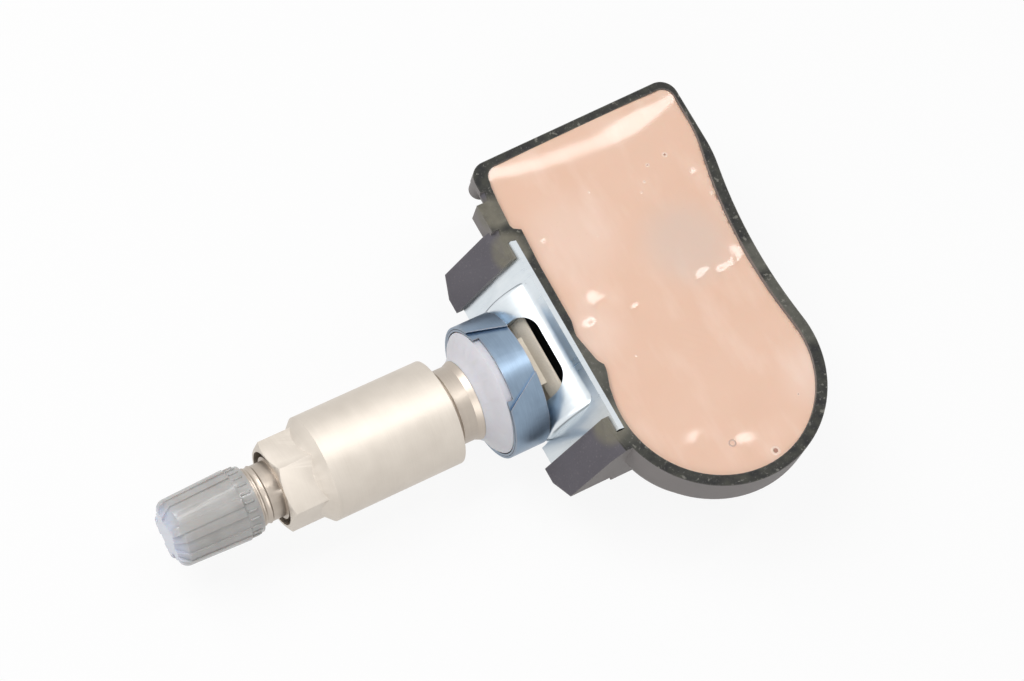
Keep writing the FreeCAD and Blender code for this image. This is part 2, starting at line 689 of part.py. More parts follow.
def draw(sketch, corners, closed=True):
    """Outline of lines and arcs. A corner is (x, y), or (x, y, radius, turn) if an arc leads to it."""
    corners = [corner if len(corner) == 4 else corner + (None, None) for corner in corners]
    count = len(corners)
    links = range(count) if closed else range(1, count)
    ends = []
    for index in links:
        before = corners[index - 1]
        after = corners[index]
        start = FreeCAD.Vector(value(before[0]), value(before[1]), 0)
        end = FreeCAD.Vector(value(after[0]), value(after[1]), 0)
        if after[2]:
            geometry = sketch.addGeometry(arc_between(start, end, value(after[2]), after[3]))
            ends.append((geometry, 1, 2) if after[3] > 0 else (geometry, 2, 1))
        else:
            geometry = sketch.addGeometry(Part.LineSegment(start, end))
            ends.append((geometry, 1, 2))
    for index in range(1 if not closed else 0, len(ends)):
        last = ends[index - 1]
        this = ends[index]
        sketch.addConstraint(Sketcher.Constraint("Coincident", last[0], last[2], this[0], this[1]))
    if not closed:
        hold_point(sketch, ends[0][0], ends[0][1], corners[0][0], corners[0][1])
    for index, (geometry, _, finish) in zip(links, ends):
        corner = corners[index]
        hold_point(sketch, geometry, finish, corner[0], corner[1])
        if corner[2]:
            hold_radius(sketch, geometry, corner[2])
    return sketch


def draw_box(sketch, low_x, low_y, high_x, high_y):
    """Rectangle between two named corners."""
    return draw(sketch, [(low_x, low_y), (high_x, low_y), (high_x, high_y), (low_x, high_y)])


def draw_circle(sketch, x, y, radius):
    """Circle about a named centre."""
    centre = FreeCAD.Vector(value(x), value(y), 0)
    geometry = sketch.addGeometry(Part.Circle(centre, FreeCAD.Vector(0, 0, 1), value(radius)))
    hold_point(sketch, geometry, 3, x, y)
    hold_radius(sketch, geometry, radius)
    return sketch


def draw_housing(sketch, prefix, rounded=True):
    """Top view of the housing at one of its insets, clockwise from the left end of the squared side.

    The two corners of the squared end are rounded, or else cut off straight.
    """
    p = prefix + "_"
    arc = (p + "corner", -1) if rounded else ()
    return draw(sketch, [
        (p + "left", p + "low_corner_y"),
        (p + "low_corner_x", p + "end_low") + arc,
        (p + "high_corner_x", p + "end_high"),
        (p + "side", p + "high_corner_y") + arc,
        (p + "side", p + "by"),
        (p + "turn_x", p + "turn_y", p + "bend", -1),
        (p + "join_x", p + "join_y", p + "waist", 1),
        ("lobe_x", p + "foot_y", p + "rad", -1),
        (p + "left", p + "left_y", p + "rad", -1),
    ])


def draw_inside(sketch, prefix):
    """Top view of what lies in the deep part of the tray: straight sides and the round lobe."""
    p = prefix + "_"
    return draw(sketch, [
        (p + "left", p + "end"), (p + "side", p + "end"), (p + "east_x", p + "cy"),
        ("lobe_x", p + "foot_y", p + "rad", -1), (p + "left", p + "left_y", p + "rad", -1)])


def feature(body, kind, name, sketch):
    """Feature of a body on a sketch."""
    item = body.newObject("PartDesign::" + kind, body.Label + "_" + name)
    item.Profile = sketch
    return item


def pad(body, name, sketch, length, both=False, backwards=False, taper=None):
    """Extrude a sketch by a named length."""
    item = feature(body, "Pad", name, sketch)
    item.setExpression("Length", cell(length))
    if both:
        item.SideType = "Symmetric"
    item.Reversed = backwards
    if taper:
        item.setExpression("TaperAngle", cell(taper))
    return item


def pocket(body, name, sketch, length=None, both=False, backwards=False):
    """Cut a sketch into the body, by a named length or right through."""
    doc.recompute()
    volume = body.Shape.Volume
    item = feature(body, "Pocket", name, sketch)
    if length:
        item.setExpression("Length", cell(length))
    else:
        item.Type = "ThroughAll"
    if both:
        item.SideType = "Symmetric"
    item.Reversed = backwards
    doc.recompute()
    if not item.Shape.Volume < volume - 1e-6:
        raise RuntimeError(item.Label + " cuts nothing")
    return item


def revolve(body, name, sketch):
    """Turn a profile about the sketch's horizontal axis."""
    item = feature(body, "Revolution", name, sketch)
    item.ReferenceAxis = (sketch, ["H_Axis"])
    item.Angle = 360
    return item


def turn_out(body, name, sketch, angle=None):
    """Turn a groove about the sketch's horizontal axis: all round, or over a named angle across it."""
    doc.recompute()
    volume = body.Shape.Volume
    item = feature(body, "Groove", name, sketch)
    item.ReferenceAxis = (sketch, ["H_Axis"])
    if angle:
        item.Midplane = True
        item.setExpression("Angle", cell(angle) + " * 1deg")
    else:
        item.Angle = 360
    doc.recompute()
    if not item.Shape.Volume < volume - 1e-6:
        raise RuntimeError(item.Label + " cuts nothing")
    return item


def round_edges(body, name, radius, wanted):
    """Fillet the edges whose ends, in the body's own axes, all pass a test."""
    doc.recompute()
    last = body.Tip
    names = []
    for index, edge in enumerate(last.Shape.Edges):
        middle = edge.valueAt((edge.FirstParameter + edge.LastParameter) / 2)
        if all(wanted(point) for point in [vertex.Point for vertex in edge.Vertexes] + [middle]):
            names.append("Edge%d" % (index + 1))
    if not names:
        raise RuntimeError(name + " finds no edge")
    item = body.newObject("PartDesign::Fillet", body.Label + "_" + name)
    item.Base = (last, names)
    item.setExpression("Radius", cell(radius))
    body.Tip = item
    return item


def near(one, two):
    """Whether two lengths are the same but for rounding."""
    return abs(one - two) < 1e-4


def repeat_round(body, name, items, count):
    """Repeat features about the X axis."""
    item = body.newObject("PartDesign::PolarPattern", body.Label + "_" + name)
    item.Originals = items
    axis = [part for part in body.Origin.OriginFeatures if part.Role == "X_Axis"][0]
    item.Axis = (axis, [""])
    item.Angle = 360
    item.setExpression("Occurrences", cell(count))
    body.Tip = item
    return item


def turned(name, corners):
    """Part that is one revolved profile. Corners are (x, radius)."""
    body = new_body(name)
    revolve(body, "turning", draw(new_sketch(body, "profile", "XY_Plane"), corners))
    return body


def make_valve_stem():
    """Machined stem: threaded tip, shank, nut thread, flared neck, seal seat, collar, web and foot."""
    body = new_body("valve_stem")
    revolve(body, "turning", draw(new_sketch(body, "profile", "XY_Plane"), [
        ("tip_x", "0"), ("tip_x", "tip_rad"), ("shank_x", "tip_rad"),
        ("shank_x", "shank_rad"), ("thread_x", "shank_rad"), ("thread_x", "thread_rad"),
        ("neck_x", "thread_rad"), ("neck_x", "neck_rad"), ("flare_x", "neck_rad"), ("0", "flare_rad"),
        ("0", "seat_rad"), ("collar_x", "seat_rad"),
        ("collar_x", "collar_rad"), ("collar_rear_x", "collar_rad"), ("collar_rear_x", "0")]))
    web = draw_box(new_sketch(body, "web_outline", "XZ_Plane"), "web_x", "web_low", "web_end_x",
                   "web_half_z")
    pad(body, "web", web, "web_wide", both=True)
    shoe = draw(new_sketch(body, "foot_outline", "XZ_Plane"), [
        ("foot_low_x", "foot_low_z"), ("foot_top_x", "foot_top_z", "foot_rad", -1),
        ("foot_back_x", "foot_top_z"), ("foot_back_x", "foot_low_z")])
    pad(body, "foot", shoe, "foot_wide", both=True)
    for side, near, far in (("left", "web_half", "foot_wide"), ("right", "-web_half", "-foot_wide")):
        cut = draw_box(new_sketch(body, "relief_" + side, "YZ_Plane", "foot_relief_x"),
                       near, "foot_relief_low", far, "foot_relief_top")
        pocket(body, "relief_cut_" + side, cut, "foot_relief_cut")
    turn_out(body, "bore", draw(new_sketch(body, "bore_profile", "XY_Plane"), [
        ("bore_start_x", "0"), ("bore_start_x", "mouth_rad"), ("mouth_end_x", "mouth_rad"),
        ("barrel_x", "barrel_rad"), ("barrel_end_x", "barrel_rad"), ("barrel_end_x", "air_rad"),
        ("air_end_x", "air_rad"), ("air_end_x", "0")]))
    return body


def make_core_body():
    """Threaded head, waist and hollow barrel of the valve core."""
    return turned("core_body", [
        ("core_x", "core_hole_rad"), ("core_x", "core_head_rad"), ("core_head_end", "core_head_rad"),
        ("core_head_end", "core_waist_rad"), ("core_waist_end", "core_waist_rad"),
        ("core_waist_end", "core_barrel_rad"), ("core_end_x", "core_barrel_rad"),
        ("core_end_x", "core_hole_rad"), ("core_room_end", "core_hole_rad"),
        ("core_room_end", "core_room_rad"), ("core_room_x", "core_room_rad"),
        ("core_room_x", "core_hole_rad")])


def make_core_gasket():
    """Conical gasket that seals the core's waist in the bore."""
    return turned("core_gasket", [
        ("gasket_start_x", "gasket_in_rad"), ("gasket_start_x", "gasket_out_rad"),
        ("mouth_end_x", "gasket_out_rad"), ("gasket_end_x", "gasket_low_rad"),
        ("gasket_end_x", "gasket_in_rad")])


def make_core_pin():
    """Pin that opens the core when it is pressed, with the spring's collar and the seal's plate."""
    return turned("core_pin", [
        ("pin_x", "0"), ("pin_x", "pin_rad"), ("pin_collar_x", "pin_rad"),
        ("pin_collar_x", "pin_collar_rad"),
        ("pin_collar_end", "pin_collar_rad"), ("pin_collar_end", "pin_rad"), ("plate_x", "pin_rad"),
        ("plate_x", "core_seal_rad"), ("pin_end_x", "core_seal_rad"), ("pin_end_x", "0")])


def make_core_seal():
    """Rubber washer that closes the barrel's end."""
    return turned("core_seat_washer", [
        ("core_seal_x", "core_seal_hole"), ("core_seal_x", "core_seal_rad"),
        ("core_seal_end", "core_seal_rad"), ("core_seal_end", "core_seal_hole")])


def make_core_spring():
    """Spring between the pin's collar and the barrel's end: a six-sided wire along a stepped helix."""
    coils = 4
    steps = 12
    radius = value("spring_rad")
    thick = value("wire_dia") / 2
    points = []
    for step in range(coils * steps + 1):
        angle = 2 * math.pi * step / steps
        along = value("spring_x") + value("spring_len") * step / (coils * steps)
        points.append(FreeCAD.Vector(along, radius * math.cos(angle), radius * math.sin(angle)))
    corners = []
    for side in range(7):
        angle = math.pi * side / 3
        corners.append(points[0] + FreeCAD.Vector(thick * math.cos(angle), thick * math.sin(angle), 0))
    wire = Part.makePolygon(points)
    coil = wire.makePipeShell([Part.makePolygon(corners)], True, False, 1)
    spring = doc.addObject("Part::Feature", "core_spring")
    spring.Label = "core_spring"
    spring.Shape = coil
    return spring


def make_valve_cap():
    """Screw-on dust cap: narrow ribs with wide flutes between them, a plain skirt and a rounded nose.

    It is drawn with a flute upwards along Y, and then turned about the valve's axis.
    """
    body = turned("valve_cap", [
        ("cap_base_x", "cap_bore_rad"), ("cap_base_x", "cap_ring_rad"), ("cap_ring_x", "cap_ring_rad"),
        ("cap_ring_x", "cap_rad"), ("cap_nose_x", "cap_nose_rad"),
        ("cap_tip_x", "cap_crown_rad", "cap_nose_len", 1),
        ("cap_tip_x", "0"), ("cap_floor_x", "0"),
        ("cap_floor_x", "cap_bore_rad")])
    cuts = []
    for name, prefix in (("panel", "panel_"), ("flute", "flute_")):
        profile = draw(new_sketch(body, name + "_profile", "XY_Plane"), [
            ("cap_ring_x", "cap_out_rad"), ("cap_ring_x", prefix + "rad"),
            ("cap_nose_x", prefix + "nose_rad"),
            ("cap_tip_x", prefix + "crown_rad"), ("cap_front_x", prefix + "crown_rad"),
            ("cap_front_x", "cap_out_rad")])
        cuts.append(turn_out(body, name, profile, prefix + "deg"))
    repeat_round(body, "flutes", cuts, "rib_count")
    body.Placement = FreeCAD.Placement(FreeCAD.Vector(0, 0, 0),
                                       FreeCAD.Rotation(FreeCAD.Vector(1, 0, 0), value("cap_turn_deg")))
    body.setExpression("Placement.Rotation.Angle", "Sizes.cap_turn_deg * 1deg")
    return body


def make_cap_seal():
    """Rubber disc in the cap's floor that closes the stem's mouth."""
    return turned("cap_seal", [
        ("cap_seal_x", "0"), ("cap_seal_x", "cap_seal_rad"), ("cap_seal_end", "cap_seal_rad"),
        ("cap_seal_end", "0")])


def make_sleeve_nut():
    """Long sleeve nut with a hexagon at its outer end."""
    body = new_body("sleeve_nut")
    revolve(body, "turning", draw(new_sketch(body, "profile", "XY_Plane"), [
        ("hex_cone_x", "0"), ("hex_cone_x", "hex_cone_rad"), ("nut_x", "nut_rad"),
        ("nut_rear_x", "nut_rad"), ("nut_rear_x", "0")]))
    hexagon = draw(new_sketch(body, "hex_outline", "YZ_Plane", "hex_x"),
                   [("hex_%d_y" % corner, "hex_%d_z" % corner) for corner in range(6)])
    pad(body, "hexagon", hexagon, "hex_len")
    turn_out(body, "chamfer", draw(new_sketch(body, "chamfer_profile", "XY_Plane"), [
        ("hex_x", "hex_flat_rad"), ("hex_end_x", "hex_out_rad"), ("hex_x", "hex_out_rad")]))
    turn_out(body, "bore", draw(new_sketch(body, "bore_profile", "XY_Plane"), [
        ("nut_before_x", "0"), ("nut_before_x", "nut_mouth_rad"), ("nut_step_x", "nut_mouth_rad"),
        ("nut_step_x", "nut_bore_rad"), ("nut_after_x", "nut_bore_rad"), ("nut_after_x", "0")]))
    return body


def make_seal_grommet():
    """Rubber seal: a cone that gets steeper and wedges into the rim's hole, and a flange behind it."""
    return turned("seal_grommet", [
        ("seal_x", "seal_bore_rad"), ("seal_x", "flare_rad"), ("seal_mid_x", "seal_mid_rad"),
        ("seal_cone_x", "seal_cone_rad"), ("seal_lip_x", "seal_rad"),
        ("seal_end_x", "seal_rad"), ("seal_end_x", "seal_bore_rad")])


def make_retainer_ring():
    """Inner steel ring with an inward flange behind the collar and a notched front edge."""
    body = turned("retainer_ring", [
        ("ring_start", "ring_inner"), ("ring_start", "ring_outer"), ("ring_rear_x", "ring_outer"),
        ("ring_rear_x", "ring_hole_rad"), ("ring_flange_x", "ring_hole_rad"),
        ("ring_flange_x", "ring_inner")])
    notch = draw_box(new_sketch(body, "notch_outline", "XY_Plane"),
                     "ring_before_x", "-ring_notch_y", "ring_notch_x", "ring_notch_y")
    pocket(body, "notch", notch, backwards=True)
    return body


def make_lock_band():
    """Outer steel band, split on top by a gap with slanted ends."""
    body = turned("lock_band", [
        ("ring_start", "band_inner"), ("ring_start", "ring_rad"),
        ("ring_rear_x", "ring_rad"), ("ring_rear_x", "band_inner")])
    gap = draw(new_sketch(body, "gap_outline", "XY_Plane"), [
        ("ring_start", "-band_gap_front_low"), ("ring_rear_x", "-band_gap_rear_low"),
        ("ring_rear_x", "band_gap_rear_high"), ("ring_start", "band_gap_front_high")])
    pocket(body, "gap", gap, backwards=True)
    return body


def make_bracket():
    """Pressed bracket: a plate with a round bulge about the pivot and a slot for the valve's web.

    It is drawn about the pivot with its plate upright, and then leans with the housing's front.
    """
    body = new_body("mounting_bracket")
    plate = draw_box(new_sketch(body, "plate_outline", "XZ_Plane"), "plate_out_x", "plate_low",
                     "plate_in_x", "plate_up")
    pad(body, "plate", plate, "plate_wide", both=True)
    bulge = draw(new_sketch(body, "bulge_outline", "XZ_Plane"), [
        ("bulge_low_x", "bulge_low_z"), ("plate_out_x", "bulge_top_z", "bulge_rad", -1),
        ("plate_in_x", "bulge_top_z"), ("plate_in_x", "bulge_in_low_z"),
        ("bulge_in_low_x", "bulge_in_low_z")])
    pad(body, "bulge", bulge, "bulge_wide", both=True)
    round_edges(body, "crease", "crease_rad", lambda point: near(point.x, value("plate_out_x"))
                and near(point.z, value("bulge_top_z")))
    trim = draw(new_sketch(body, "trim_outline", "XZ_Plane"), [
        ("plate_out_x", "-bulge_top_z"), ("bulge_low_x", "bulge_low_z", "bulge_rad", 1),
        ("bulge_in_low_x", "bulge_in_low_z"), ("0", "slot_low"), ("slot_low", "slot_low"),
        ("slot_low", "-bulge_top_z")])
    pocket(body, "trim", trim, "bulge_wide", both=True)
    hollow = draw_circle(new_sketch(body, "hollow_outline", "XZ_Plane"), "0", "0", "bulge_in_rad")
    pocket(body, "hollow", hollow, "bulge_hollow_wide", both=True)
    slot = draw(new_sketch(body, "slot_outline", "YZ_Plane"), [
        ("slot_half", "slot_low"), ("slot_half", "slot_side_z"),
        ("slot_corner_y", "slot_up", "slot_corner", 1),
        ("-slot_corner_y", "slot_up"), ("-slot_half", "slot_side_z", "slot_corner", 1),
        ("-slot_half", "slot_low")])
    pocket(body, "slot", slot, backwards=False)
    body.Placement = FreeCAD.Placement(FreeCAD.Vector(value("pivot_x"), 0, 0),
                                       FreeCAD.Rotation(FreeCAD.Vector(0, 1, 0), value("lean_deg")))
    body.setExpression("Placement.Base.x", cell("pivot_x"))
    body.setExpression("Placement.Rotation.Angle", "Sizes.lean_deg * 1deg")
    return body


def make_housing():
    """Moulded tray with a rim, a tapered base, two legs for the bracket and a pocket for the foot."""
    body = new_body("housing")
    band = draw_housing(new_sketch(body, "band_outline", "XY_Plane", "band_bottom_z"), "hull")
    pad(body, "band", band, "hull_high")
    base = draw_housing(new_sketch(body, "base_outline", "XY_Plane", "band_bottom_z"), "sole",
                        rounded=False)
    pad(body, "base", base, "base_high", backwards=True, taper="-base_taper_deg")
    lower = draw(new_sketch(body, "left_outline", "XZ_Plane", "-chamfer_y"), [
        ("chamfer_out_x", "left_chamfer_top"), ("chamfer_out_x", "under_z"),
        ("chamfer_low_x", "under_z"), ("hull_left", "left_chamfer_top")])
    pocket(body, "left_chamfer", lower, backwards=False)
    legs = draw(new_sketch(body, "leg_outline", "XZ_Plane"), [
        ("leg_top_x", "leg_top_z"), ("leg_inside_x", "leg_top_z"), ("leg_inside_x", "leg_back"),
        ("leg_foot_x", "leg_foot_z")])
    pad(body, "legs", legs, "leg_wide", both=True)
    for side, sign in (("left", ""), ("right", "-")):
        corner_cut = draw(new_sketch(body, "corner_outline_" + side, "YZ_Plane", "hull_left"), [
            (sign + "leg_cut_y", "leg_back"), (sign + "leg_half", "leg_cut_z"),
            (sign + "leg_far_y", "leg_cut_z"),
            (sign + "leg_far_y", "under_z"), (sign + "leg_cut_y", "under_z")])
        pocket(body, "corner_" + side, corner_cut)
        facet = new_sketch(body, "facet_outline_" + side, "XY_Plane")
        tilt = value(sign + "leg_facet_tilt")
        facet.AttachmentOffset = FreeCAD.Placement(
            FreeCAD.Vector(value("leg_facet_x"), value(sign + "leg_half"), value("rim_z")),
            FreeCAD.Rotation(FreeCAD.Vector(0, 0, 1), FreeCAD.Vector(-1, tilt, 1)))
        facet.setExpression("AttachmentOffset.Base.x", cell("leg_facet_x"))
        facet.setExpression("AttachmentOffset.Base.y", cell(sign + "leg_half"))
        facet.setExpression("AttachmentOffset.Base.z", cell("rim_z"))
        draw_circle(facet, "0", "0", "facet_rad")
        pocket(body, "facet_" + side, facet, "facet_rad", backwards=True)
    ear = draw_box(new_sketch(body, "ear_outline", "XY_Plane", "ear_z"), "ear_x", "ear_low_y", "ear_in_x",
                   "ear_high_y")
    pad(body, "ear", ear, "ear_high")
    lug = draw_circle(new_sketch(body, "lug_outline", "XY_Plane", "lug_low_z"), "lug_x", "lug_y",
                      "lug_rad")
    pad(body, "lug", lug, "lug_high")
    front = draw(new_sketch(body, "front_outline", "XZ_Plane"), [
        ("seat_top_x", "seat_top_z"), ("far_top_x", "far_top_z"), ("far_low_x", "far_low_z"),
        ("seat_low_x", "seat_low_z")])
    pocket(body, "between_legs", front, "leg_gap", both=True)
    groove = draw(new_sketch(body, "groove_outline", "XZ_Plane"), [
        ("seat_top_x", "seat_top_z"), ("front_top_x", "front_top_z"),
        ("front_low_x", "front_low_z"), ("seat_low_x", "seat_low_z")])
    pocket(body, "plate_groove", groove, "plate_pocket_wide", both=True)
    relief = draw_box(new_sketch(body, "relief_outline", "XZ_Plane"), "relief_out_x", "under_z",
                      "relief_in_x", "relief_z")
    pocket(body, "bulge_relief", relief, "relief_wide", both=True)
    swing = draw(new_sketch(body, "swing_outline", "XZ_Plane"), [
        ("swing_front_x", "swing_low_z"), ("swing_back_x", "swing_top_z", "swing_rad", -1),
        ("swing_back_x", "swing_bend_z"), ("swing_low_x", "swing_low_z")])
    pocket(body, "foot_pocket", swing, "swing_wide", both=True)
    well = draw_housing(new_sketch(body, "well_outline", "XY_Plane", "rim_z"), "well")
    pocket(body, "well", well, "well_deep")
    deep = draw_inside(new_sketch(body, "deep_outline", "XY_Plane", "step_z"), "deep")
    pocket(body, "deep_well", deep, "deep_deep")
    port = draw_circle(new_sketch(body, "port_outline", "XY_Plane", "floor_z"), "port_x", "port_y",
                       "port_rad")
    pocket(body, "port", port, "floor_thick")
    gasket = draw_circle(new_sketch(body, "gasket_outline", "XY_Plane", "floor_z"), "port_x", "port_y",
                         "gasket_rad")
    pocket(body, "gasket_seat", gasket, "gasket_deep")
    filter_seat = draw_circle(new_sketch(body, "filter_outline", "XY_Plane", "filter_seat_z"),
                              "port_x", "port_y", "filter_rad")
    pocket(body, "filter_seat", filter_seat, "filter_deep")
    return body


def plain_pad(name, role, offset, length, painter):
    """Part that is one extruded sketch."""
    body = new_body(name)
    pad(body, "block", painter(new_sketch(body, "outline", role, offset)), length)
    return body


def make_potting():
    """Cast sealing compound that fills the tray over the electronics, with a room for each of them."""
    body = new_body("potting")
    pad(body, "top", draw_housing(new_sketch(body, "top_outline", "XY_Plane", "fill_base_z"), "fill"),
        "fill_high")
    pad(body, "plug", draw_inside(new_sketch(body, "plug_outline", "XY_Plane", "fill_base_z"), "plug"),
        "plug_high", backwards=True)
    cell_room = draw_circle(new_sketch(body, "cell_room", "XY_Plane", "part_z"), "lobe_x", "cell_y",
                            "room_cell_rad")
    pocket(body, "cell_cut", cell_room, "room_cell_high", backwards=True)
    tab_room = draw_box(new_sketch(body, "tab_room", "XY_Plane", "part_z"),
                        "room_tab_x_low", "cell_y", "room_tab_x_high", "room_tab_y")
    pocket(body, "tab_cut", tab_room, "room_cell_high", backwards=True)
    for item in ("chip", "coil", "loop", "crystal", "cap"):
        room = "room_" + item
        outline = draw_box(new_sketch(body, room, "XY_Plane", "part_z"),
                           room + "_x_low", room + "_y_low", room + "_x_high", room + "_y_high")
        pocket(body, item + "_cut", outline, room + "_high", backwards=True)
    return body


def make_board():
    """Circuit board on the tray's floor, with a hole over the pressure port."""
    body = new_body("circuit_board")
    pad(body, "laminate", draw_inside(new_sketch(body, "outline", "XY_Plane", "board_z"), "board"),
        "board_thick")
    hole = draw_circle(new_sketch(body, "hole_outline", "XY_Plane", "board_top_z"), "port_x", "port_y",
                       "port_rad")
    pocket(body, "port_hole", hole, "board_thick")
    return body


def make_battery():
    """Coin cell that lies in the lobe: a can and the smaller crown on it."""
    body = new_body("battery")
    can = draw_circle(new_sketch(body, "can_outline", "XY_Plane", "cell_z"), "lobe_x", "cell_y",
                      "cell_rad")
    pad(body, "can", can, "can_high")
    crown = draw_circle(new_sketch(body, "crown_outline", "XY_Plane", "cell_z"), "lobe_x", "cell_y",
                        "crown_rad")
    pad(body, "crown", crown, "cell_thick")
    return body


def make_tab_top():
    """Strip that leads from the cell's crown down to the board."""
    body = new_body("battery_tab_top")
    side = draw(new_sketch(body, "side_outline", "YZ_Plane", "tab_high_x"), [
        ("tab_end_y", "tab_top_z"), ("tab_drop_y", "tab_top_z"), ("tab_drop_y", "part_z"),
        ("tab_foot_y", "part_z"), ("tab_foot_y", "tab_foot_z"), ("tab_out_y", "tab_foot_z"),
        ("tab_out_y", "tab_over_z"), ("tab_end_y", "tab_over_z")])
    pad(body, "strip", side, "tab_wide", both=True)
    return body


def make_tab_bottom():
    """Strip between the board and the cell's can."""
    body = new_body("battery_tab_bottom")
    side = draw_box(new_sketch(body, "side_outline", "YZ_Plane", "tab_low_x"),
                    "tab_end_y", "tab_low_z", "tab_foot_y", "tab_foot_z")
    pad(body, "strip", side, "tab_wide", both=True)
    return body


def make_chip():
    """Pressure sensor's package over the port, with its lid."""
    body = new_body("sensor_chip")
    base = draw_box(new_sketch(body, "base_outline", "XY_Plane", "part_z"),
                    "chip_x_low", "chip_y_low", "chip_x_high", "chip_y_high")
    pad(body, "base", base, "chip_high")
    lid = draw_box(new_sketch(body, "lid_outline", "XY_Plane", "chip_top_z"),
                   "lid_x_low", "lid_y_low", "lid_x_high", "lid_y_high")
    pad(body, "lid", lid, "chip_lid_high")
    return body


def make_ferrite():
    """Ferrite bobbin of the wake-up coil: a waist with a flange at each end."""
    body = new_body("ferrite_core")
    waist = draw_box(new_sketch(body, "waist_outline", "XZ_Plane", "-coil_low_y"),
                     "waist_x_low", "waist_z_low", "waist_x_high", "waist_z_high")
    pad(body, "waist", waist, "coil_len", backwards=True)
    for name, start, backwards in (("near", "-coil_low_y", True), ("far", "-coil_high_y", False)):
        flange = draw_box(new_sketch(body, name + "_outline", "XZ_Plane", start),
                          "coil_x_low", "part_z", "coil_x_high", "coil_top_z")
        pad(body, name, flange, "coil_end", backwards=backwards)
    return body


def make_winding():
    """Copper winding round the bobbin's waist."""
    body = new_body("antenna_winding")
    ring = new_sketch(body, "outline", "XZ_Plane", "-wind_low_y")
    draw_box(ring, "wind_x_low", "wind_z_low", "wind_x_high", "wind_z_high")
    draw_box(ring, "wind_in_x_low", "wind_in_z_low", "wind_in_x_high", "wind_in_z_high")
    pad(body, "turns", ring, "wind_len", backwards=True)
    return body


def make_loop():
    """Aerial: a bridge of flat strip that stands on the board."""
    body = new_body("antenna_loop")
    side = draw(new_sketch(body, "side_outline", "XZ_Plane", "-loop_y"), [
        ("loop_x_low", "part_z"), ("loop_x_low", "loop_side_z"),
        ("loop_low_bend", "loop_top_z", "loop_bend", -1),
        ("loop_high_bend", "loop_top_z"), ("loop_x_high", "loop_side_z", "loop_bend", -1),
        ("loop_x_high", "part_z"), ("loop_in_x_high", "part_z"),
        ("loop_in_x_high", "loop_side_z"), ("loop_high_bend", "loop_under_z", "loop_in_bend", 1),
        ("loop_low_bend", "loop_under_z"), ("loop_in_x_low", "loop_side_z", "loop_in_bend", 1),
        ("loop_in_x_low", "part_z")])
    pad(body, "strip", side, "loop_wide", both=True)
    return body


def make_crystal():
    """Crystal in its flat case."""
    return plain_pad("crystal", "XY_Plane", "part_z", "crystal_high", lambda sketch: draw_box(
        sketch, "crystal_x_low", "crystal_y_low", "crystal_x_high", "crystal_y_high"))


def make_capacitors():
    """Row of chip capacitors."""
    row = []
    for index in range(3):
        chip = doc.addObject("Part::Box", "capacitor_%d" % (index + 1))
        chip.setExpression("Length", "Sizes.capacitor_long")
        chip.setExpression("Width", "Sizes.capacitor_wide")
        chip.setExpression("Height", "Sizes.capacitor_high")
        chip.setExpression("Placement.Base.x", "Sizes.capacitor_x - Sizes.capacitor_long / 2")
        chip.setExpression("Placement.Base.y", "Sizes.capacitor_y - Sizes.capacitor_wide / 2"
                                               " + %d * Sizes.capacitor_pitch" % index)
        chip.setExpression("Placement.Base.z", "Sizes.part_z")
        row.append(chip)
    group = doc.addObject("Part::Compound", "chip_capacitors")
    group.Label = "chip_capacitors"
    group.Links = row
    return group


def make_port_gasket():
    """Rubber ring that seals the board to the port."""
    body = new_body("port_gasket")
    ring = new_sketch(body, "outline", "XY_Plane", "gasket_z")
    draw_circle(ring, "port_x", "port_y", "gasket_disc_rad")
    draw_circle(ring, "port_x", "port_y", "port_rad")
    pad(body, "ring", ring, "gasket_high")
    return body


def make_port_filter():
    """Membrane disc that closes the port from outside."""
    return plain_pad("port_filter", "XY_Plane", "back", "filter_high", lambda sketch: draw_circle(
        sketch, "port_x", "port_y", "filter_disc_rad"))


parts = [
    make_valve_stem(),
    make_core_body(),
    make_core_gasket(),
    make_core_pin(),
    make_core_seal(),
    make_core_spring(),
    make_valve_cap(),
    make_cap_seal(),
    make_sleeve_nut(),
    make_seal_grommet(),
    make_retainer_ring(),
    make_lock_band(),
    make_bracket(),
    make_housing(),
    make_potting(),
    make_board(),
    make_battery(),
    make_tab_top(),
    make_tab_bottom(),
    make_chip(),
    make_ferrite(),
    make_winding(),
    make_loop(),
    make_crystal(),
    make_capacitors(),
    make_port_gasket(),
    make_port_filter(),
]

doc.recompute()

for item in doc.Objects:
    if "Invalid" in item.State or "Error" in item.State:
        raise RuntimeError(item.Label + " didn't build: " + str(item.State))
for item in parts:
    if item.Shape.isNull() or not item.Shape.isValid() or not item.Shape.Solids:
        raise RuntimeError(item.Label + " has no valid solid")

os.makedirs("parts", exist_ok=True)
for item in parts:
    item.Shape.exportStep("parts/" + item.Label + ".step")
    box = item.Shape.BoundBox
    print("%-18s %10.2f mm3  x %.2f %.2f  y %.2f %.2f  z %.2f %.2f" % (
        item.Label, item.Shape.Volume, box.XMin, box.XMax, box.YMin, box.YMax, box.ZMin, box.ZMax))
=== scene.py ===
# %% [markdown]
# # A tyre pressure sensor, dressed for a studio picture
#
# The part is a clamp-in tyre valve that carries a potted radio sensor. The solids come from the
# CAD model. This lesson keeps their places and gives each one the small shapes and the finish that
# the eye expects: soft edges, satin plating, blued steel, zinc, black moulding and a poured resin.
# All lengths are in metres, and `MM` turns millimetres into them.

# %% Load the frame
import bmesh
import bpy
import math
from mathutils import Matrix, Vector, noise
from mathutils.kdtree import KDTree


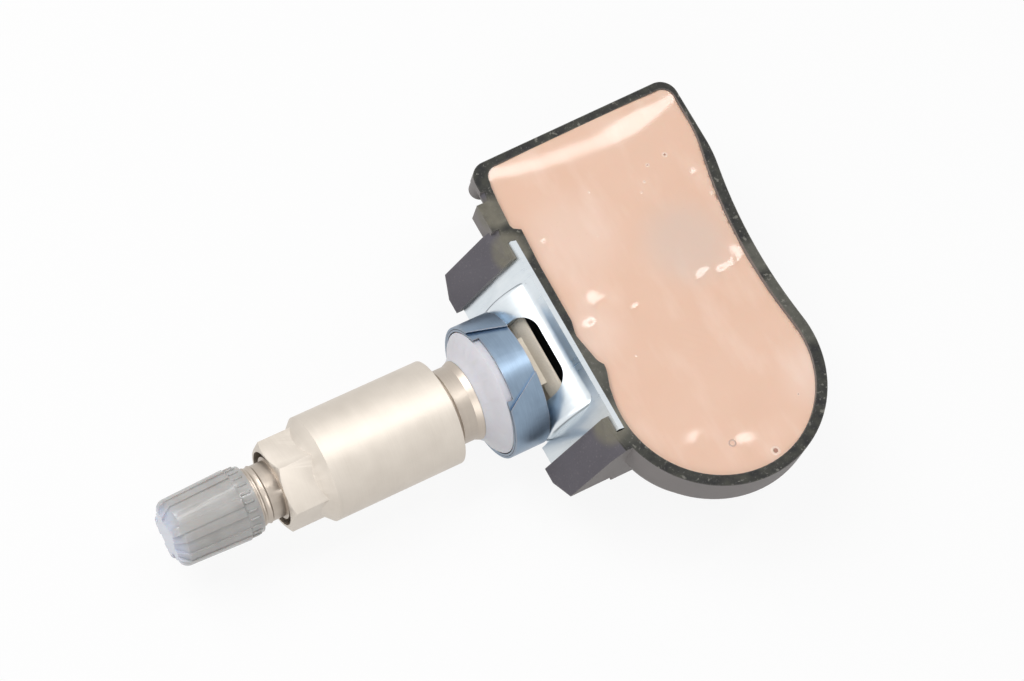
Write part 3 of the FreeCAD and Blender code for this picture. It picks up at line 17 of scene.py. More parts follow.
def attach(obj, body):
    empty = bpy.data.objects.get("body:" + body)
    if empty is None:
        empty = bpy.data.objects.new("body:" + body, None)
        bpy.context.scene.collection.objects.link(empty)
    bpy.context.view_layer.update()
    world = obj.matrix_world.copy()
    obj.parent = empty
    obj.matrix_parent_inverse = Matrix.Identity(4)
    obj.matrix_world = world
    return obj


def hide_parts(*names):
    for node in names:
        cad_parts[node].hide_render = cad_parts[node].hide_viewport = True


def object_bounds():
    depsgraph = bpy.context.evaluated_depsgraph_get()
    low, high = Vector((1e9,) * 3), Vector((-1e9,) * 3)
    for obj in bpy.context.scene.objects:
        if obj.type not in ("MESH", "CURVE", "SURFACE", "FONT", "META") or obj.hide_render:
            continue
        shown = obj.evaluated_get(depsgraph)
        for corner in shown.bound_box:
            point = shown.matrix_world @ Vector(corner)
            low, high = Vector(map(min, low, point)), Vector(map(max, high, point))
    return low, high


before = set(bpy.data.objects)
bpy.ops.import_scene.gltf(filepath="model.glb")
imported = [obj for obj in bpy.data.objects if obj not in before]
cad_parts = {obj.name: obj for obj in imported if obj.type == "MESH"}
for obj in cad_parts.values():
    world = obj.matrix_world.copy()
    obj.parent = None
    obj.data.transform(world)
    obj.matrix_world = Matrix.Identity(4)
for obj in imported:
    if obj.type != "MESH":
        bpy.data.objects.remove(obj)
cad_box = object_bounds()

MM = 0.001

# %% [markdown]
# ## The camera
#
# The photograph was taken from above and a little from the cap's side. Its place was worked out
# from the valve, whose sizes are known: three axes say how the camera is turned and one point says
# where it stands. A long lens keeps the picture nearly free of perspective, as product shots are.

# %% Camera
CAMERA_PLACE = Vector((-110.90, -93.28, 339.15)) * MM
CAMERA_BACK = Vector((-0.3238, -0.2628, 0.9089)).normalized()
CAMERA_UP = Vector((0.3905, 0.8379, 0.3814))
CAMERA_LENS = 98.44
CAMERA_SENSOR = 36.0
CAMERA_NEAR = 0.01
CAMERA_FAR = 20.0

camera_right = CAMERA_UP.cross(CAMERA_BACK).normalized()
camera_up = CAMERA_BACK.cross(camera_right)
turn = Matrix((camera_right, camera_up, CAMERA_BACK)).transposed().to_4x4()
camera_data = bpy.data.cameras.new("camera")
camera_data.lens = CAMERA_LENS
camera_data.sensor_width = CAMERA_SENSOR
camera_data.clip_start = CAMERA_NEAR
camera_data.clip_end = CAMERA_FAR
camera = bpy.data.objects.new("camera", camera_data)
camera.matrix_world = Matrix.Translation(CAMERA_PLACE) @ turn
bpy.context.scene.collection.objects.link(camera)
bpy.context.scene.camera = camera
print("camera at", [round(value, 3) for value in CAMERA_PLACE], "with a lens of", CAMERA_LENS)

# %% [markdown]
# ## Shader maths as plain expressions
#
# A finish is mostly arithmetic on noise. Linking Math nodes by hand hides that, so a small class
# wraps an output socket: adding or multiplying two of them makes the node. Its reflected forms let
# `1 - mask` work too.

# %% Sockets that calculate
class Wire:
    """An output socket that can be used in sums and products."""

    def __init__(self, finish, socket):
        self.finish = finish
        self.socket = socket

    def maths(self, operation, first, second):
        return self.finish.add("Math", {"operation": operation}, {0: first, 1: second})

    def __add__(self, other):
        return self.maths("ADD", self, other)

    def __sub__(self, other):
        return self.maths("SUBTRACT", self, other)

    def __rsub__(self, other):
        return self.maths("SUBTRACT", other, self)

    def __mul__(self, other):
        return self.maths("MULTIPLY", self, other)

    __radd__ = __add__
    __rmul__ = __mul__


print("wires can be added, subtracted and multiplied")

# %% [markdown]
# ## One method for every other node
#
# `add` makes any other node from its type, its settings and the values or links of its sockets. The
# short methods after it hold what the finishes share: noise, a grey ramp, a blend of two colours, a
# relief, and a mask of sharp edges, which compares the true surface with a rounded one.

# %% A material that builds its own nodes
COLOUR_A, COLOUR_B, COLOUR_RESULT = 6, 7, 2
EDGE_SAMPLES = 4


class Finish:
    """A material and the helpers that fill its node tree."""

    def __init__(self, name):
        self.material = bpy.data.materials.new(name)
        self.material.use_nodes = True
        self.tree = self.material.node_tree
        self.shader = self.tree.nodes["Principled BSDF"]
        self.place = None

    def add(self, kind, settings=None, inputs=None, output=0):
        node = self.tree.nodes.new("ShaderNode" + kind)
        for key, value in (settings or {}).items():
            if key == "stops":
                self.set_stops(node.color_ramp, value)
            else:
                setattr(node, key, value)
        for key, value in (inputs or {}).items():
            self.put(node.inputs[key], value)
        return Wire(self, node.outputs[output])

    def put(self, socket, value):
        """Link a wire to a socket, or set the socket's own value."""
        if isinstance(value, Wire):
            self.tree.links.new(value.socket, socket)
        else:
            socket.default_value = value

    def set_stops(self, ramp, stops):
        while len(ramp.elements) < len(stops):
            ramp.elements.new(0.5)
        for element, (position, level) in zip(ramp.elements, stops):
            element.position = position
            element.color = (level, level, level, 1.0)

    def coordinates(self, scale=(1, 1, 1)):
        """Object coordinates in millimetres, stretched per axis."""
        if self.place is None:
            self.place = self.add("TexCoord", output="Object")
        stretch = tuple(part / MM for part in scale)
        return self.add("Mapping", {}, {"Vector": self.place, "Scale": stretch})

    def noise(self, size, detail=3.0, stretch=(1, 1, 1)):
        """Soft noise between 0 and 1 whose blotches are about the given size in millimetres."""
        return self.add("TexNoise", {}, {"Vector": self.coordinates(stretch),
                                         "Scale": 1.0 / size, "Detail": detail})

    def ramp(self, wire, *stops):
        """Grey ramp through (position, level) stops."""
        return self.add("ValToRGB", {"stops": stops}, {0: wire})

    def mix(self, factor, first, second):
        """Blend two colours."""
        return self.add("Mix", {"data_type": "RGBA"},
                        {0: factor, COLOUR_A: first, COLOUR_B: second}, COLOUR_RESULT)

    def bump(self, height, distance, strength=1.0, normal=None):
        """Tilt the surface as a relief of the given height in millimetres would."""
        inputs = {"Height": height, "Distance": distance * MM, "Strength": strength}
        if normal is not None:
            inputs["Normal"] = normal
        return self.add("Bump", {}, inputs)

    def edge_mask(self, radius, gain=3.0):
        """1 along sharp edges within a radius, 0 on flat ground."""
        rounded = self.add("Bevel", {"samples": EDGE_SAMPLES}, {"Radius": radius * MM})
        plain = self.add("NewGeometry", output="Normal")
        alike = self.add("VectorMath", {"operation": "DOT_PRODUCT"},
                         {0: rounded, 1: plain}, "Value")
        return self.add("Clamp", {}, {0: (1 - alike) * gain})

    def set(self, **sockets):
        """Values or links of the shader's sockets. An underscore stands for a space."""
        for key, value in sockets.items():
            self.put(self.shader.inputs[key.replace("_", " ")], value)
        return self.material


print("a finish starts from the Principled shader")

# %% [markdown]
# ## Screen colours
#
# Tones are easiest to judge on a screen, in steps from 0 to 255. A shader calculates in linear
# light, so `paint` takes the screen's curve off each number.

# %% Screen colours
def paint(red, green, blue):
    """Linear colour from the 0 to 255 numbers of a screen colour."""
    def linear(level):
        level = level / 255
        return level / 12.92 if level <= 0.04045 else ((level + 0.055) / 1.055) ** 2.4
    return (linear(red), linear(green), linear(blue), 1.0)


print("a mid grey of 188 is", round(paint(188, 188, 188)[0], 2), "in linear light")

# %% [markdown]
# ## Masks by place
#
# Wear, stains and pin holes have a place on the part. `spot` gives a soft-edged ball about a point
# in millimetres, and `height_mask` tells what lies above a level. Both are drawn from Object
# coordinates, so that they stay on the piece.

# %% Masks by place
LOOKS_UP = (0.2, 0.35)


def spot(finish, centre, radius, soft):
    """1 within a radius about a point in millimetres, and 0 outside it."""
    away = finish.add("VectorMath", {"operation": "DISTANCE"},
                      {0: finish.coordinates(), 1: centre}, "Value")
    return finish.add("MapRange", {"interpolation_type": "SMOOTHSTEP"},
                      {0: away, 1: radius, 2: radius + soft, 3: 1.0, 4: 0.0})


def spots(finish, places):
    """Sum of several spots, held below 1."""
    total = spot(finish, *places[0])
    for place in places[1:]:
        total = total + spot(finish, *place)
    return finish.add("Clamp", {}, {0: total})


def height_mask(finish, level, soft):
    """1 above a level in millimetres."""
    height = finish.add("SeparateXYZ", {}, {0: finish.coordinates()}, "Z")
    return finish.add("MapRange", {}, {0: height, 1: level, 2: level + soft})


def upward_mask(finish):
    """1 where the surface looks up."""
    facing = finish.add("NewGeometry", output="True Normal")
    upward = finish.add("SeparateXYZ", {}, {0: facing}, "Z")
    return finish.add("MapRange", {}, {0: upward, 1: LOOKS_UP[0], 2: LOOKS_UP[1]})


print("masks are ready")

# %% [markdown]
# ## Black glass-filled moulding
#
# The tray is moulded in nylon with glass fibres. Its smooth faces are a violet grey with a dull
# sheen. The rim's top is nearly black, with an olive cast, and it is rubbed grey on the valve's
# side and along the waist. Walls are painted lighter than faces that look up: painted light. The
# pocket behind the bracket is painted near black: painted shade.

# %% Housing finish
RUBBED = (((14.2, -4.5, 8.6), 2.5, 3.0), ((15.5, -13.0, 8.6), 1.5, 4.0),
          ((42.9, -1.0, 8.6), 1.5, 1.5), ((44.0, -9.5, 8.6), 4.5, 1.5))
SCUFFED = (((12.6, -13.4, 8.6), 1.7, 1.6), ((12.6, 13.6, 8.6), 1.9, 1.6),
           ((13.3, 19.4, 8.6), 1.5, 1.5))
# Painted shade: a near-black spot over the pocket behind the bracket.
POCKET_SHADE = ((19.0, 0.0, 1.0), 7.0, 1.5)
RIM_LEVEL = 8.35
POCKET_SHADE_LEVEL = -3.3
FACE_TONES = paint(80, 77, 83), paint(96, 93, 99)
# Painted light: walls that don't look up are painted lighter than the faces.
LIT_WALL_TONES = paint(114, 109, 108), paint(134, 129, 127)
RIM_TONES = paint(27, 27, 27), paint(60, 60, 53)
RUBBED_TONE = paint(96, 95, 87)
NICK_TONE = paint(134, 132, 124)
SCUFFED_TONE = paint(112, 108, 96)
SPECK_TONE = paint(124, 120, 122)
EDGE_TONE = paint(138, 134, 130)
POCKET_SHADE_TONE = paint(14, 14, 14)


def make_black_moulding():
    finish = Finish("black_moulding")
    cloud = finish.noise(size=5.0, detail=4.0)
    grain = finish.noise(size=0.16, detail=2.0)
    patch = finish.noise(size=1.4, detail=5.0)
    speck = finish.ramp(finish.noise(size=0.33, detail=2.0), (0.60, 0.0), (0.72, 1.0))
    worn = finish.edge_mask(radius=0.35, gain=2.2)
    upward = upward_mask(finish)
    rim = height_mask(finish, RIM_LEVEL, soft=0.1) * upward
    face = finish.mix(cloud, *FACE_TONES)
    # Painted light: the walls' lighter tone stands for the light they catch.
    lit_wall = finish.mix(cloud, *LIT_WALL_TONES)
    top = finish.mix(finish.ramp(patch, (0.35, 0.0), (0.7, 1.0)), *RIM_TONES)
    top = finish.mix(spots(finish, RUBBED) * (0.3 + patch * 0.7), top, RUBBED_TONE)
    scratch = finish.noise(size=0.7, detail=5.0, stretch=(1.0, 1.0, 0.3))
    nick = finish.ramp(scratch, (0.62, 0.0), (0.68, 1.0))
    top = finish.mix(nick * 0.6, top, NICK_TONE)
    base = finish.mix(upward, lit_wall, face)
    base = finish.mix(rim, base, top)
    base = finish.mix(spots(finish, SCUFFED) * (0.4 + patch * 0.9), base, SCUFFED_TONE)
    base = finish.mix(speck * 0.3, base, SPECK_TONE)
    base = finish.mix(worn * finish.noise(size=0.9, detail=4.0) * 0.8, base, EDGE_TONE)
    # Painted shade: the pocket behind the bracket is painted near black.
    pocket_shade = spot(finish, *POCKET_SHADE) * height_mask(finish, POCKET_SHADE_LEVEL, soft=0.1)
    base = finish.mix(pocket_shade, base, POCKET_SHADE_TONE)
    rough = 0.42 + cloud * 0.2 + grain * 0.1
    relief = finish.bump(patch, distance=0.05, strength=0.4)
    relief = finish.bump(grain, distance=0.02, strength=0.6, normal=relief)
    return finish.set(Base_Color=base, Roughness=rough, Normal=relief, Specular_IOR_Level=0.3)


black_moulding = make_black_moulding()
print("made", black_moulding.name)

# %% [markdown]
# ## Poured sealing compound
#
# The tray is filled with a two-part resin of a salmon colour. It sets to a glossy skin with cloudy
# streaks where it was stirred and a greyer zone over the coil. Small bubbles burst and left pin
# holes with a brown core and a pale lip, one large bubble stayed whole, and fine ripples mark where
# the skin wrinkled. The broad waves of the skin are in its mesh, so only the fine ones are here.

# %% Resin finish
GREY_ZONE = ((35.6, 5.0, 8.3), 2.5, 6.0)
PALE_ZONES = (((18.0, -1.0, 8.3), 1.0, 5.0), ((41.5, -19.0, 8.3), 1.5, 5.0),
              ((22.0, 12.0, 8.3), 2.0, 7.0))
PIN_HOLES = ((39.39, 17.47, 0.17), (36.38, 17.09, 0.12), (34.76, 15.12, 0.09),
             (42.45, 9.85, 0.13), (31.19, -25.88, 0.26), (33.6, 13.9, 0.08),
             (24.9, 10.7, 0.07), (21.0, -6.3, 0.08), (38.1, -20.4, 0.07), (27.0, 16.9, 0.07))
PIN_LEVEL = 8.1
LIP_SIZE = 2.2
BUBBLE = (26.45, -22.48, 8.2)
BUBBLE_OUTER = 0.50
BUBBLE_INNER = 0.34
BUBBLE_SOFT = 0.12
RIPPLES = ((29.4, -8.8, 8.2), 1.5, 3.5)
RESIN_TONES = paint(226, 185, 160), paint(234, 197, 175)
STREAK_TONE = paint(243, 216, 200)
GREY_TONE = paint(214, 193, 180)
PALE_TONE = paint(245, 224, 212)
FLECK_TONE = paint(208, 165, 143)
LIP_TONE = paint(248, 232, 222)
HOLE_TONE = paint(150, 92, 70)
BUBBLE_TONE = paint(176, 158, 156)


def make_resin():
    finish = Finish("sealing_compound")
    cloud = finish.noise(size=9.0, detail=5.0)
    streak = finish.noise(size=4.0, detail=4.0, stretch=(1.0, 0.35, 1.0))
    fleck = finish.ramp(finish.noise(size=0.5, detail=2.0), (0.70, 0.0), (0.78, 1.0))
    base = finish.mix(cloud, *RESIN_TONES)
    base = finish.mix(finish.ramp(streak, (0.5, 0.0), (0.75, 1.0)) * 0.4, base, STREAK_TONE)
    base = finish.mix(spot(finish, *GREY_ZONE) * 0.6, base, GREY_TONE)
    base = finish.mix(spots(finish, PALE_ZONES) * 0.3, base, PALE_TONE)
    base = finish.mix(fleck * 0.25, base, FLECK_TONE)
    holes = spots(finish, [((x, y, PIN_LEVEL), size, 0.12) for x, y, size in PIN_HOLES])
    lips = spots(finish, [((x, y, PIN_LEVEL), size * LIP_SIZE, 0.15) for x, y, size in PIN_HOLES])
    base = finish.mix(lips * 0.35, base, LIP_TONE)
    base = finish.mix(holes * 0.85, base, HOLE_TONE)
    shell = spot(finish, BUBBLE, BUBBLE_OUTER, BUBBLE_SOFT)
    shell = shell - spot(finish, BUBBLE, BUBBLE_INNER, BUBBLE_SOFT)
    base = finish.mix(shell * 0.5, base, BUBBLE_TONE)
    ripple = finish.add("TexWave", {"wave_type": "BANDS", "bands_direction": "DIAGONAL"},
                        {"Vector": finish.coordinates(), "Scale": 0.45, "Distortion": 2.5,
                         "Detail": 2.0, "Detail Scale": 0.4}, 1)
    ripple = ripple * spot(finish, *RIPPLES)
    skin = finish.bump(finish.noise(size=2.5, detail=3.0), distance=0.03, strength=0.3)
    skin = finish.bump(ripple, distance=0.012, strength=0.6, normal=skin)
    skin = finish.bump(shell + lips * 0.3 - holes, distance=0.12, strength=0.7, normal=skin)
    rough = 0.08 + streak * 0.07 + fleck * 0.2
    return finish.set(Base_Color=base, Roughness=rough, Normal=skin, Subsurface_Weight=0.08,
                      Subsurface_Scale=0.002)


resin = make_resin()
print("made", resin.name)

# %% [markdown]
# ## Plated and blued metal
#
# Turned brass with satin nickel, zinc-plated sheet and blued spring steel differ in tint, in how
# rough they are and in the way their tool marks run. One recipe takes those three facts: the marks
# are noise that is stretched along the cut, so that it draws rings on a turned part and lines on a
# rolled sheet.

# %% Recipe for metal
BLAST_ROUGH = 0.22
BLAST_DULL = 0.5


def make_metal(name, dark, light, rough, marks, mark_size, relief, edge=None, lit_and_rough=None):
    """Metal whose tool marks are noise stretched by `marks`.

    `edge` is the colour of its worn edges. `lit_and_rough` is a colour and a place along X from
    which on the metal is rougher and speckled, and painted paler as painted light.
    """
    finish = Finish(name)
    cloud = finish.noise(size=3.0, detail=3.0)
    lines = finish.noise(size=mark_size, detail=3.0, stretch=marks)
    fine = finish.noise(size=0.12, detail=2.0)
    base = finish.mix(cloud * 0.6 + lines * 0.4, paint(*dark), paint(*light))
    if edge:
        base = finish.mix(finish.edge_mask(radius=0.3, gain=2.0) * 0.8, base, paint(*edge))
    tilt = finish.bump(lines, distance=relief, strength=0.5)
    tilt = finish.bump(fine, distance=0.004, strength=0.6, normal=tilt)
    rough = rough + lines * 0.12 + cloud * 0.06
    metallic = 1.0
    if lit_and_rough:
        colour, start = lit_and_rough
        # Partly painted light: past this place the metal is painted paler, and it is also rougher.
        along = finish.add("SeparateXYZ", {}, {0: finish.coordinates()}, "X")
        mask = finish.add("MapRange", {}, {0: along, 1: start, 2: start + 1})
        speck = finish.noise(size=0.22, detail=3.0)
        base = finish.mix(mask * (0.65 + speck * 0.5), base, paint(*colour))
        rough = rough + mask * BLAST_ROUGH
        tilt = finish.bump(speck * mask, distance=0.03, strength=0.5, normal=tilt)
        metallic = 1 - mask * BLAST_DULL
    return finish.set(Base_Color=base, Metallic=metallic, Roughness=rough, Normal=tilt)


print("the recipe for metal is ready")

# %% [markdown]
# The first four metals are seen in the picture. The stem has deeper tool marks than the nut, and
# beyond its collar it is rougher and speckled, and painted paler as painted light. The others are
# for the valve's core and the electronics.

# %% Metals
TURNED = (1.0, 0.02, 0.02)
nickel = make_metal("satin_nickel", (198, 189, 178), (222, 214, 204), rough=0.40,
                    marks=TURNED, mark_size=0.12, relief=0.003)
# Beyond the collar the stem is rougher and painted paler: partly painted light.
stem_metal = make_metal("turned_nickel", (170, 159, 148), (202, 192, 180), rough=0.32,
                        marks=TURNED, mark_size=0.12, relief=0.006, lit_and_rough=((222, 212, 196), 5.0))
zinc = make_metal("bright_zinc", (203, 213, 220), (240, 244, 246), rough=0.21,
                  marks=(0.15, 1.0, 0.15), mark_size=0.5, relief=0.006)
blue_steel = make_metal("blued_steel", (108, 124, 142), (152, 172, 192), rough=0.27,
                        marks=(1.0, 0.06, 0.06), mark_size=0.16, relief=0.006,
                        edge=(166, 148, 134))
brass = make_metal("turned_brass", (190, 155, 95), (214, 182, 120), rough=0.3,
                   marks=TURNED, mark_size=0.1, relief=0.004)
spring_wire = make_metal("spring_wire", (160, 160, 160), (190, 190, 190), rough=0.25,
                         marks=(1, 1, 1), mark_size=0.2, relief=0.002)
cell_can = make_metal("cell_can", (186, 186, 184), (206, 206, 203), rough=0.25,
                      marks=(1, 1, 0.1), mark_size=0.3, relief=0.003)
nickel_strip = make_metal("nickel_strip", (184, 184, 176), (206, 206, 198), rough=0.28,
                          marks=(0.1, 1, 1), mark_size=0.2, relief=0.003)
copper_wire = make_metal("copper_wire", (176, 96, 62), (206, 124, 84), rough=0.3,
                         marks=(0.2, 1, 0.2), mark_size=0.12, relief=0.02)
crystal_lid = make_metal("crystal_lid", (178, 174, 166), (204, 200, 190), rough=0.25,
                         marks=(1, 0.1, 1), mark_size=0.2, relief=0.002)
print("made ten metals")

# %% [markdown]
# ## Plastics, rubber and laminate
#
# The dust cap is a grey moulding with a soft sheen that lets a little light in. The seal is a pale
# rubber with a lilac cast. The pieces that the resin hides still get a finish of their own, because
# the model can be opened.

# %% Recipe for plastic and rubber
PLASTIC_DEPTH = 0.0015
COAT_ROUGH = 0.15


def make_plastic(name, dark, light, rough, grain_size, relief, depth=0.0, shine=0.0, painted_light=None):
    """Moulded plastic or rubber with a clouded tone and a fine grain.

    `depth` is how much light gets under the skin, and `shine` is a thin coat on it.
    `painted_light` is a colour and a spot where the piece turns to it: painted light.
    """
    finish = Finish(name)
    cloud = finish.noise(size=2.6, detail=4.0)
    grain = finish.noise(size=grain_size, detail=2.0)
    base = finish.mix(cloud, paint(*dark), paint(*light))
    if painted_light:
        colour, place = painted_light
        # Painted light: the piece turns to a colour about a spot, for the light it catches there.
        base = finish.mix(spot(finish, *place) * 0.8, base, paint(*colour))
    tilt = finish.bump(grain, distance=relief, strength=0.6)
    rough = rough + cloud * 0.12 + grain * 0.05
    return finish.set(Base_Color=base, Roughness=rough, Normal=tilt, Subsurface_Weight=depth,
                      Subsurface_Scale=PLASTIC_DEPTH, Coat_Weight=shine,
                      Coat_Roughness=COAT_ROUGH)


print("the recipe for plastic is ready")

# %% [markdown]
# The cap's end face is painted bluish: painted light for the cool light it catches. Rubber is
# rougher than plastic, and the pressure port's cloth is the roughest of all.

# %% Plastics and rubbers
# Painted light: a bluish spot on the cap's end face for the cool light it catches.
CAP_COOL_LIGHT = ((-43.2, 0.0, 0.0), 3.2, 2.0)
cap_plastic = make_plastic("cap_plastic", (150, 148, 146), (180, 178, 175), rough=0.26,
                           grain_size=0.25, relief=0.01, depth=0.1, shine=0.6,
                           painted_light=((190, 196, 212), CAP_COOL_LIGHT))
seal_rubber = make_plastic("seal_rubber", (200, 198, 205), (214, 213, 218), rough=0.36,
                           grain_size=0.3, relief=0.006, depth=0.1, shine=0.15)
black_rubber = make_plastic("black_rubber", (34, 34, 35), (48, 47, 47), rough=0.6,
                            grain_size=0.2, relief=0.01)
board_laminate = make_plastic("board_laminate", (28, 78, 52), (40, 96, 64), rough=0.3,
                              grain_size=0.4, relief=0.01)
chip_case = make_plastic("chip_case", (44, 44, 46), (58, 58, 60), rough=0.5,
                         grain_size=0.1, relief=0.008)
ferrite_case = make_plastic("ferrite", (70, 70, 73), (88, 88, 90), rough=0.5,
                            grain_size=0.1, relief=0.01)
ceramic_chip = make_plastic("ceramic_chip", (186, 158, 124), (204, 178, 146), rough=0.45,
                            grain_size=0.1, relief=0.005)
membrane_cloth = make_plastic("membrane", (224, 224, 222), (238, 238, 236), rough=0.75,
                              grain_size=0.15, relief=0.02)
print("made eight plastics and rubbers")

# %% [markdown]
# ## Softening a CAD solid
#
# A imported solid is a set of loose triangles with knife-sharp edges. Real parts have small rounds
# that catch the light. A copy of the solid is merged, its flat regions are joined into single
# faces, and a Bevel modifier rounds what is sharper than an angle. The copy then stands for the
# node.

# %% Copy, merge and soften
MERGE_GAP = 0.002 * MM
FLAT_ANGLE = math.radians(1.0)
SHARP_ANGLE = math.radians(32)


def merged_copy(node):
    """Bmesh of a node with its triangles joined and its flat regions dissolved."""
    mesh = bmesh.new()
    mesh.from_mesh(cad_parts[node].data)
    bmesh.ops.remove_doubles(mesh, verts=mesh.verts, dist=MERGE_GAP)
    bmesh.ops.dissolve_limit(mesh, angle_limit=FLAT_ANGLE, verts=mesh.verts, edges=mesh.edges)
    return mesh


def finish_piece(mesh, name, body, material, replaces=(), bevel=0.0, segments=2):
    """Turn a bmesh into a piece that rides on a body and takes a finish."""
    data = bpy.data.meshes.new(name)
    mesh.to_mesh(data)
    mesh.free()
    data.materials.clear()
    data.materials.append(material)
    data.shade_smooth()
    data.set_sharp_from_angle(angle=SHARP_ANGLE)
    piece = bpy.data.objects.new(name, data)
    bpy.context.scene.collection.objects.link(piece)
    if bevel:
        rounding = piece.modifiers.new("soft edges", "BEVEL")
        rounding.width = bevel * MM
        rounding.segments = segments
        rounding.limit_method = "ANGLE"
        rounding.angle_limit = SHARP_ANGLE
        rounding.harden_normals = True
        rounding.use_clamp_overlap = True
    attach(piece, body)
    if replaces:
        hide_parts(*replaces)
    print(name, "has", len(data.polygons), "faces")


print("edges sharper than", round(math.degrees(SHARP_ANGLE)), "degrees get a round")

# %% [markdown]
# ## The moulded tray
#
# The tray keeps the solid's shape, but for the edge of its well on the valve's side. There it is
# uneven, and the resin follows it. Planes cut that wall into short stretches, and a row of steps
# says how far each one moves. The outer edges are moulded with a radius of a few tenths.

# %% Uneven edge of the fill
WELL_LEFT = 15.25
WELL_LEVEL = 6.3
WELL_SLACK = 0.06
CUT_GAP = 1e-7
WAVE_LOW = -9.6
WAVE_HIGH = 23.6
WAVE_STEP = 0.55
EDGE_WAVES = ((23.6, -0.1), (21.0, -0.4), (16.4, -0.7), (15.7, 0.5), (10.4, 0.2), (1.4, 0.15),
              (-0.6, -0.35), (-3.4, 0.2), (-5.0, 0.5), (-5.7, 1.05), (-6.5, 1.0), (-9.0, 0.1))


def edge_shift(y):
    """How far the fill's edge leaves the straight line at a place along the tray."""
    if y >= EDGE_WAVES[0][0]:
        return EDGE_WAVES[0][1]
    for (high, high_shift), (low, low_shift) in zip(EDGE_WAVES, EDGE_WAVES[1:]):
        if y >= low:
            share = (high - y) / (high - low)
            return high_shift + (low_shift - high_shift) * share
    return EDGE_WAVES[-1][1]


def once(parts):
    """Each part of a mesh one time, in an order that is the same in every run."""
    return list(dict.fromkeys(parts))


def slice_faces(mesh, chosen, axis, places):
    """Cut the chosen faces by planes across an axis."""
    normal = Vector([float(index == axis) for index in range(3)])
    for place in places:
        faces = [face for face in mesh.faces if chosen(face)]
        parts = once(part for face in faces for part in (*face.verts, *face.edges)) + faces
        bmesh.ops.bisect_plane(mesh, geom=parts, dist=CUT_GAP, plane_co=normal * place * MM,
                               plane_no=normal)


def on_left_wall(point):
    return abs(point.x / MM - WELL_LEFT) < WELL_SLACK and point.z / MM > WELL_LEVEL


def wave_left_wall(mesh):
    """Bend the left wall of the well, or of what fills it."""
    count = int((WAVE_HIGH - WAVE_LOW) / WAVE_STEP)
    places = [WAVE_LOW + WAVE_STEP * number for number in range(1, count)]
    slice_faces(mesh, lambda face: any(on_left_wall(vertex.co) for vertex in face.verts), 1,
                places)
    for vertex in mesh.verts:
        y = vertex.co.y / MM
        if on_left_wall(vertex.co) and WAVE_LOW < y < WAVE_HIGH:
            vertex.co.x += edge_shift(y) * MM


print("the fill's edge has", len(EDGE_WAVES), "steps")

# %% [markdown]
# The solid's pocket for the circuit board comes out of the tapered base at the waist and at the
# squared end's corner. The edge of each opening is split into an outer and an inner ring, both are
# filled, and the pocket's side moves inwards, so that a thin wall stands where the opening was.

# %% Closed base and housing
POCKET_WALL = 200.0
POCKET_FLOOR = -2.1
POCKET_END = 23.2
POCKET_SLACK = 0.05
POCKET_SKIN = 0.35
SQUARE_ON = 0.99
TAPER_LEAN = -0.2


def is_pocket_side(face):
    return face.normal.x < -SQUARE_ON and face.calc_area() / MM ** 2 > POCKET_WALL


def is_in_pocket(face):
    """Whether a face is the pocket's floor, its end wall or its long side."""
    centre = face.calc_center_median() / MM
    if face.normal.z > SQUARE_ON:
        return abs(centre.z - POCKET_FLOOR) < POCKET_SLACK
    if face.normal.y < -SQUARE_ON:
        return abs(centre.y - POCKET_END) < POCKET_SLACK
    return is_pocket_side(face)


def close_slits(mesh):
    """Part the pocket from the taper where they meet, and close both sides."""
    mesh.normal_update()
    pocket = [face for face in mesh.faces if is_in_pocket(face)]
    slits = once(edge for face in pocket for edge in face.edges
                 if any(other.normal.z < TAPER_LEAN for other in edge.link_faces))
    bmesh.ops.split_edges(mesh, edges=slits)
    rings = [edge for edge in mesh.edges if edge.is_boundary]
    inner = {vertex for face in pocket for edge in face.edges
             if edge.is_boundary or is_pocket_side(face) for vertex in edge.verts}
    filled = bmesh.ops.holes_fill(mesh, edges=rings, sides=0)["faces"]
    for vertex in inner:
        vertex.co.x -= POCKET_SKIN * MM
    bmesh.ops.recalc_face_normals(mesh, faces=mesh.faces)
    left = sum(not edge.is_manifold for edge in mesh.edges)
    print("closed the slits,", len(slits), "edges, with", len(filled), "faces,", left, "left open")


tray_mesh = merged_copy("housing")
wave_left_wall(tray_mesh)
close_slits(tray_mesh)
finish_piece(tray_mesh, "tray", "sensor", black_moulding, ["housing"],
             bevel=0.14)

# %% [markdown]
# ## The valve stem
#
# The visible neck has two turned grooves, and the tip's thread ends just outside the cap. Both are
# cut the same way: planes slice the turned surface into narrow bands, and the middle ring of each
# band is drawn in or out.

# %% Stem with its grooves and thread crests
GROOVE_PLACES = (-3.15, -3.65)
GROOVE_HALF = 0.16
GROOVE_LAYER = (4.9, 5.9)
GROOVE_DEPTH = 0.2
THREAD_START = -31.2
THREAD_PITCH = 0.794
THREAD_TURNS = 2
CREST_HALF = 0.24
CREST_LAYER = (3.4, 4.2)
CREST_HEIGHT = 0.16
RING_SLACK = 0.01


def draw_ring(mesh, place, half_width, layer, change):
    """Move what lies in a layer of radii in or out along a narrow ring round the valve's axis."""
    for shift in (-half_width, 0.0, half_width):
        everything = mesh.verts[:] + mesh.edges[:] + mesh.faces[:]
        bmesh.ops.bisect_plane(mesh, geom=everything, dist=CUT_GAP,
                               plane_co=((place + shift) * MM, 0, 0), plane_no=(1, 0, 0))
    low, high = layer
    for vertex in mesh.verts:
        radius = math.hypot(vertex.co.y, vertex.co.z) / MM
        if abs(vertex.co.x / MM - place) < RING_SLACK and low < radius < high:
            scale = (radius + change) / radius
            vertex.co.y *= scale
            vertex.co.z *= scale


